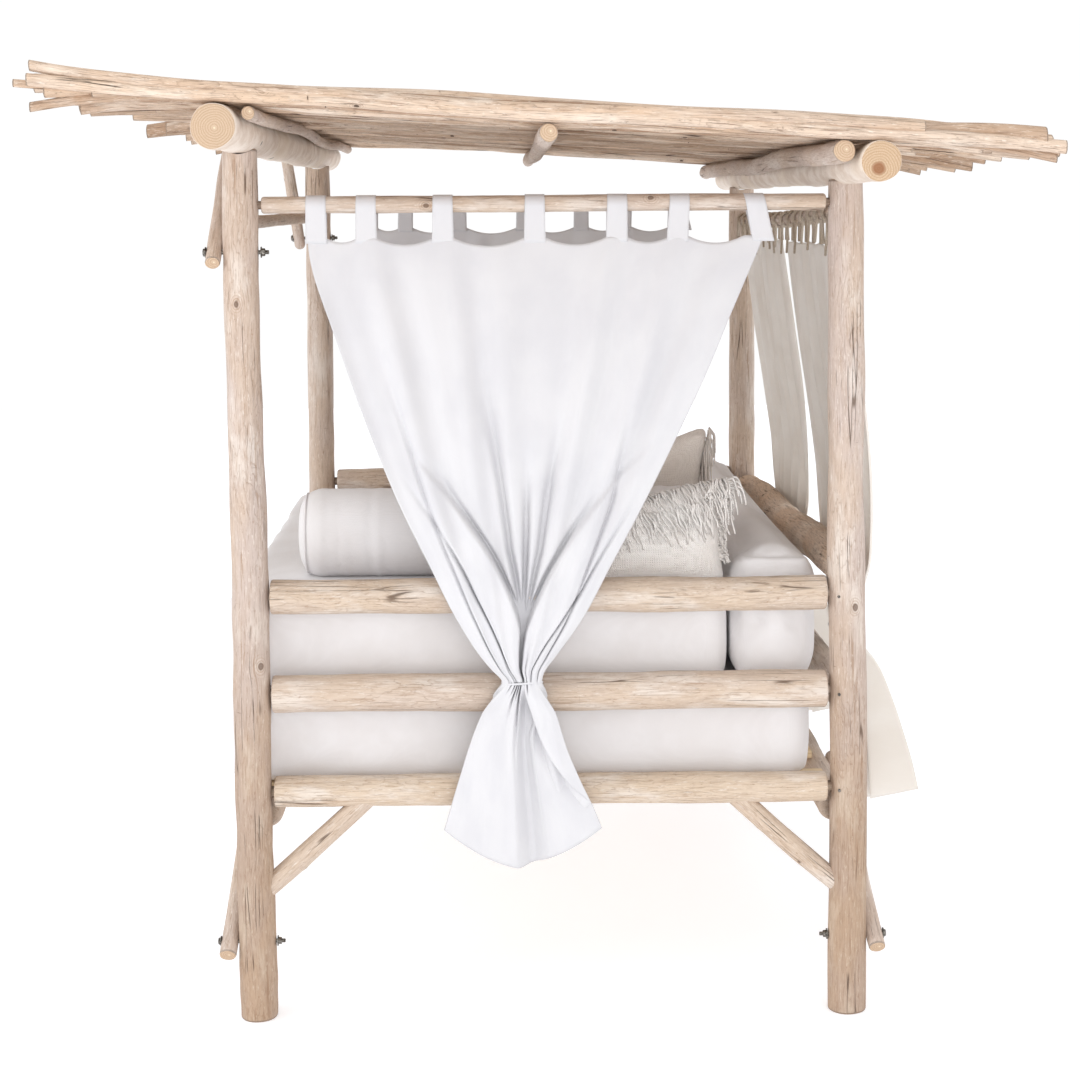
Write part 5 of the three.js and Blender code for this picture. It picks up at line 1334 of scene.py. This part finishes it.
backCurtain = {
    "flat": (0.93, 1.45), "material": "ecruCotton",
    "columns": 200, "rows": 150,
    "table": [
        (1.864, 0.048, 0.948, 0.000, 0.004),
        (1.774, 0.050, 0.942, 0.012, 0.009),
        (1.586, 0.054, 0.936, 0.039, 0.013),
        (1.430, 0.060, 0.929, 0.062, 0.016),
        (1.270, 0.068, 0.922, 0.079, 0.018),
        (1.160, 0.086, 0.900, 0.087, 0.019),
        (1.068, 0.117, 0.859, 0.091, 0.020),
        (1.000, 0.185, 0.776, 0.091, 0.020),
        (0.953, 0.252, 0.706, 0.090, 0.020),
        (0.895, 0.350, 0.588, 0.088, 0.020),
        (0.856, 0.411, 0.516, 0.0870, 0.020),
        (0.838, 0.417, 0.510, 0.0867, 0.0195),
        (0.812, 0.406, 0.521, 0.1080, 0.024),
        (0.760, 0.390, 0.538, 0.148, 0.034),
        (0.665, 0.368, 0.564, 0.183, 0.047),
        (0.580, 0.338, 0.592, 0.200, 0.059),
        (0.506, 0.310, 0.621, 0.212, 0.068),
        (0.430, 0.292, 0.638, 0.221, 0.076),
    ],
    "waist": 0.838, "hemDrop": 0.030, "hemDip": 0.030, "ply": 0.0, "gathers": 0.0,
    "seeds": {"right": 23, "left": 57},
    "broad": 7.0, "softness": 0.85,
    "leftPly": ((0, 1), (0, 0)), "rightPly": ((0, 1), (0, 0)),
    "creases": [(start, place, 0.9, place, 1.0, place, 0.9, wide) for place, start, wide in (
        (0.08, 0.70, 0.012), (0.16, 0.50, 0.016), (0.24, 0.74, 0.012), (0.33, 0.45, 0.016),
        (0.42, 0.72, 0.012), (0.50, 0.50, 0.018), (0.58, 0.74, 0.012), (0.66, 0.45, 0.016),
        (0.75, 0.72, 0.012), (0.84, 0.50, 0.016), (0.92, 0.72, 0.012))],
    "pleats": [
        (0.08, 0.7, 0.2), (0.17, 0.8, 0.3), (0.26, 0.8, 0.2), (0.35, 0.9, 0.3), (0.44, 0.9, 0.2),
        (0.53, 0.9, 0.3), (0.62, 0.9, 0.2), (0.71, 0.8, 0.3), (0.80, 0.8, 0.2), (0.90, 0.7, 0.2),
    ],
    "hemShares": (0.0, 0.06, 0.125, 0.19, 0.25, 0.31, 0.375, 0.44, 0.5, 0.56, 0.625, 0.69, 0.75, 0.81, 0.875,
                  0.94, 1.0),
    "hemDepths": (0.9, 0.65, -0.7, -0.95, 0.95, 0.75, -0.6, -0.95, 1.0, 0.7, -0.7, -1.0, 0.9, 0.7, -0.7,
                  -0.9, 0.8),
    "foldUnder": 0.0, "overlap": 0.0,
    "tabs": [], "sag": 0.008, "strings": (0.072, 0.932, 8), "rod": 1.925, "rodRadius": 0.0165,
}


# Rows down the cloth, closer together round the waist: v, the waist's own v, and the table's
# five columns read at v.
def curtainRows(spec):
    table = np.array(spec["table"])
    z = table[:, 0]
    down = (z[0] - z) / (z[0] - z[-1])
    waist = (z[0] - spec["waist"]) / (z[0] - z[-1])
    even = np.linspace(0, 1, spec["rows"])
    v = even - 0.035 * np.sin(2 * np.pi * (even - waist))
    v = (v - v[0]) / (v[-1] - v[0])
    return v[:, None], waist, *(smoothTable(v, down, column)[:, None] for column in table.T)


# A crease is a narrow valley: -depth exp(-((u - place) / width)^2). Above the tie (s from 0 to 1)
# the cloth is broad soft waves that turn into a raised bundle with creases. Below it (b from 0 to
# 1) short pleats die out into the hem's own shape, and one layer's edge crosses from the tie to
# the right side.
def foldShape(spec, u, s, b):
    bend = 2 * np.pi * spec["broad"] * (u + 0.030 * waves(u, spec["seed"], 0.8, 2.2) * np.sin(np.pi * u))
    broad = np.cos(bend + 0.6) + 0.5 * np.cos(1.7 * bend + 2.0)
    above = 0 * s
    for s0, u0, s1, u1, s2, u2, depth, wide in spec["creases"]:
        line = np.interp(s, (s0, s1, s2), (u0, u1, u2)) + 0.004 * np.sin(9 * s + 40 * u0)
        grown = easeIn((s - s0) / 0.30)
        above = above + depth * grown * np.exp(-(((u - line) / (wide * (1.6 - 0.6 * grown))) ** 2))
    bell = np.clip(1 - (2 * u - 1) ** 2, 0, 1) ** 0.35
    ripe = easeIn((s - 0.25) / 0.6)
    # two ribbons lie over the middle, and their inner edges meet above the tie
    step = 0.016
    fromLeft = easeIn((u - np.interp(s, *spec["leftPly"])) / step + 0.5)
    fromRight = easeIn((np.interp(s, *spec["rightPly"]) - u) / step + 0.5)
    ply = spec["ply"] * easeIn((s - 0.42) / 0.25) * (0.4 - fromLeft * fromRight)
    bundle = ((0.9 - 0.25 * spec["ply"]) * bell * ripe + ply + spec["softness"] * broad * (1 - 0.8 * ripe)
              - 1.7 * above * (0.35 + 0.65 * bell))
    place, depth, reach = np.array(spec["pleats"]).T[:, :, None, None]
    short = (depth * np.exp(-((b / reach) ** 2) - ((u - place) / 0.014) ** 2)).sum(0)
    even = np.linspace(0, 1, 257)
    hem = np.pad(np.interp(even, spec["hemShares"], spec["hemDepths"]), 4, mode="edge")
    kernel = np.hanning(9)
    hem = np.interp(u, even, np.convolve(hem, kernel / kernel.sum(), "valid"))
    edge = 0.55 + 0.37 * np.clip(b / 0.88, 0, 1)
    valley = 0.9 * np.exp(-((np.maximum(edge - u, 0) / 0.07) ** 2)) * (u < edge)
    layer = spec["overlap"] * (easeIn((u - edge) / 0.012 + 0.5) - valley) * easeIn((0.94 - b) / 0.34)
    calm = easeIn(b / 0.16)
    hem = hem * easeIn((b + 0.08) / 0.3) - 1.2 * short + layer
    below = (0.9 * bell - 1.7 * short) * (1 - calm) + hem * calm
    return np.where(b > 0, np.clip(below, -1.2, 1.2), np.clip(bundle, -1.15, 1.15))


# How far the top hem hangs below its tabs or strings, for each column.
def hemSag(spec, u, left, right):
    if not spec["tabs"]:
        return spec["sag"] * np.abs(np.sin(np.pi * 6 * u))
    tabs = np.array(spec["tabs"])
    along = left + (right - left) * u
    i = np.clip(np.searchsorted(tabs, along) - 1, 0, len(tabs) - 2)
    gap = tabs[i + 1] - tabs[i]
    t = np.clip((along - tabs[i] - 0.02) / (gap - 0.04), 0, 1)
    return spec["sag"] * (gap / 0.2) * 4 * t * (1 - t)


# P(u, v) = (edge line + width g(u, v), stand-off + most(v) fold(u, v), height). g is the share of
# the width, and below the tie it turns back at both sides, so that some cloth lies behind.
def curtainSurface(spec, place):
    v, waist, z, left, right, stand, most = curtainRows(spec)
    # columns crowd round the creases at the tie
    even = np.linspace(0, 1, 2001)
    places = np.array([crease[5] for crease in spec["creases"]])
    dense = 1 + 1.2 * np.exp(-(((even[:, None] - places) / 0.015) ** 2)).sum(1)
    path = np.concatenate([[0], ((dense[1:] + dense[:-1]) / 2).cumsum()])
    u = np.interp(np.linspace(0, 1, spec["columns"]), path / path[-1], even)
    s, b = np.clip(v / waist, 0, 1), np.clip((v - waist) / (1 - waist), 0, 1)
    fold = foldShape(spec, u, s, b)
    side = 0.11  # share of the width that turns back at each side
    hidden = np.clip(np.maximum(side - u, u - 1 + side) / side, 0, 1)
    turned = spec["foldUnder"] * easeIn(b / 0.35) * hidden * np.sign(0.5 - u)
    under = easeIn(b / 0.2) * bool(spec["foldUnder"])
    share = u + (np.clip((u - side) / (1 - 2 * side), 0, 1) + turned - u) * under
    # the cloth behind lies in small gathers
    behind = hidden**0.5 * under
    gathers = spec["gathers"] * np.sin(6 * np.pi * hidden) - 0.95
    out = stand + most * (fold * (1 - behind) + gathers * behind)
    arch = (1 - np.abs(2 * share - 1) ** 1.6) * 1.25 - 0.35
    height = z - (spec["hemDrop"] * arch + spec["hemDip"] * (1 - fold) / 2) * b**2
    height = height - hemSag(spec, u, left[0], right[0]) * np.exp(-v * 14)
    return place(left + (right - left) * share, out, height), u


# A tab: a strip that leaves the hem, passes round the rod and comes back. Its path is two
# straight sides and an arc of a little more than half a turn.
def tabStrips(spec, place):
    radius = spec["rodRadius"] + 0.0012
    turn = np.linspace(-0.35, np.pi + 0.35, 30)
    arcOut, arcUp = radius * np.cos(turn), spec["rod"] + radius * np.sin(turn)
    hem = spec["table"][0][0] - 0.014
    straight = np.linspace(0, 1, 10)[:-1]
    sideUp = hem + (arcUp[0] - hem) * straight
    sideOut = 0.0016 + (arcOut[0] - 0.0016) * straight**1.5
    out = np.concatenate([sideOut, arcOut, -sideOut[::-1]])[:, None]
    up = np.concatenate([sideUp, arcUp, sideUp[::-1]])[:, None]
    across = np.linspace(-0.5, 0.5, 9)
    high = (up - hem) / (spec["rod"] + radius - hem)
    out = out + 0.0006 * np.cos(9 * across) * high
    wide = spec["tabWidth"] * across * (1 - 0.10 * high)
    places = zip(spec["tabs"], spec["tabSlant"])
    return np.array([place(at - slant * (1 - high) + wide, out, up) for at, slant in places])


# Each tab's flat place in metres: across the hem, and along the strip.
def flatStrips(strips):
    steps = np.linalg.norm(np.diff(strips, axis=1), axis=3).mean(2).cumsum(1)
    down = np.pad(steps, ((0, 0), (1, 0)))[..., None]
    hem = np.linalg.norm(strips[:, :1, 0] - strips[:, :1, -1], axis=2)[..., None]
    return np.stack(np.broadcast_arrays(np.linspace(0, 1, strips.shape[2]) * hem, down), -1)


# The tie: a narrow band round the bundle, a ridged oval.
def tieBand(node, spec, place):
    table = np.array(spec["table"])
    left, right, stand = (np.interp(-spec["waist"], -table[:, 0], column) for column in table.T[1:4])
    turn, section = roundTurn(72)[:, None], roundTurn(8)
    thick, tall, deep = 0.0016, 0.0026, 0.0196
    swelling = 0.0012 * np.cos(23 * turn) + thick * np.cos(section)
    along = (left + right) / 2 + ((right - left) / 2 + 0.0008 + swelling) * np.cos(turn)
    out = stand + (deep + swelling) * np.sin(turn)
    up = spec["waist"] + tall * np.sin(section) + 0.0015 * np.sin(2 * turn)
    makeLoops(f"{node}_band", place(along, out, up)[None], "whiteCotton", node, "voile", (f"{node}_tie",))


# Strips from the back curtain's hem wound round the rod: each path climbs from the hem, goes
# round the rod one and a half times as a helix and hangs down in a loose end.
def stringTies(node, spec, place):
    sign = ends["right" if "right" in node else "left"]
    dice = np.random.default_rng(spec["seed"])
    t = np.linspace(0, 1, 60)
    climb, wound, fall = easeIn(t / 0.22), np.clip((t - 0.22) / 0.5, 0, 1), np.clip((t - 0.72) / 0.28, 0, 1)
    radius, hem = spec["rodRadius"] + 0.0042, spec["table"][0][0] - 0.004
    paths = []
    for at in np.linspace(*spec["strings"]):
        rodZ = spec["rod"] + rodSag(0.5 - sign * at / (2 * bed["halfLength"]))
        for start, lean, hang in ((-0.006, 0.022, 0.075), (0.006, -0.016, 0.055)):
            turn = (3 * wound * np.sign(lean) - 0.5) * np.pi
            along = at + start + lean * wound + 0.012 * np.sin(4 * fall) * np.sign(lean)
            long = hang * dice.uniform(0.8, 1.3)
            away = 0.012 + 0.010 * dice.random()
            out = radius * np.cos(turn)
            out = out * climb + 0.002 * (t < 0.22) + (away - out) * easeIn(fall * 3)
            up = hem + (rodZ + radius * np.sin(turn) - hem) * climb - (long + 0.03) * fall
            paths.append(place(along, -out, up))
    return makeStrands(f"{node}_strings", np.array(paths), 0.0042, "tieString", node, "voile", 8)


def makeCurtain(node, spec, place):
    material = spec["material"]
    surface, shares = curtainSurface(spec, place)
    across, down = np.meshgrid(spec["flat"][0] * shares, np.linspace(spec["flat"][1], 0, spec["rows"]))
    flat = np.stack([across, down], -1)
    piece = makeCloth(f"{node}_cloth", surface[None], flat, material, node, (node,), 0.0012)
    if spec["tabs"]:
        strips = tabStrips(spec, place)
        extras = [makeCloth(f"{node}_tabs", strips, flatStrips(strips), material, node, (), 0.0014)]
    else:
        extras = [stringTies(node, spec, place)]
    tieBand(node, spec, place)


def makeCurtains():
    for end, sign in ends.items():

        def besideEnd(along, out, up):
            return np.stack(np.broadcast_arrays(sign * (bed["halfLength"] + out), along, up), -1)

        makeCurtain(f"{end}_end_curtain", {**endCurtain, "seed": endCurtain["seeds"][end]}, besideEnd)
    for end, sign in ends.items():

        def behindBed(along, out, up):
            return np.stack(np.broadcast_arrays(sign * along, bed["halfDepth"] + out, up), -1)

        makeCurtain(f"back_{end}_curtain", {**backCurtain, "seed": backCurtain["seeds"][end]}, behindBed)
    print("curtains made")


makeCurtains()


stage = {
    "floor": "#e6e7ea", "glow": 0.5, "size": 14.0, "worldStrength": 1.02,
    # place, turn in degrees, size and power
    "lamps": {
        "key": ((3.2, -5.6, 3.2), (68, 0, 30), 3.0, 80),
        "fill": ((7.5, 0.8, 1.6), (88, 0, 94), 3.5, 115),
    },
}


def makeStage():
    scene = bpy.context.scene
    material, _, surface = newMaterial("paperFloor", 0.9)
    surface.inputs["Base Color"].default_value = hexColour(stage["floor"])
    surface.inputs["Specular IOR Level"].default_value = 0.1
    surface.inputs["Emission Color"].default_value = hexColour(stage["floor"])
    surface.inputs["Emission Strength"].default_value = stage["glow"]
    square = np.array([(-1, -1, 0), (1, -1, 0), (1, 1, 0), (-1, 1, 0)]) * stage["size"]
    mesh = newMesh("floor", square, [(0, 1, 2, 3)])
    mesh.materials.append(material)
    floor = bpy.data.objects.new("floor", mesh)
    scene.collection.objects.link(floor)
    world = bpy.data.worlds.new("studio")
    world.use_nodes = True
    back = world.node_tree.nodes["Background"]
    back.inputs[0].default_value = (1, 1, 1, 1)
    back.inputs[1].default_value = stage["worldStrength"]
    scene.world = world
    for name, (place, turn, size, power) in stage["lamps"].items():
        light = bpy.data.lights.new(name, "AREA")
        light.energy, light.size = power, size
        lamp = bpy.data.objects.new(name, light)
        lamp.location, lamp.rotation_euler = place, np.radians(turn)
        scene.collection.objects.link(lamp)
    scene.view_settings.view_transform = "Standard"


makeStage()
print("stage made")
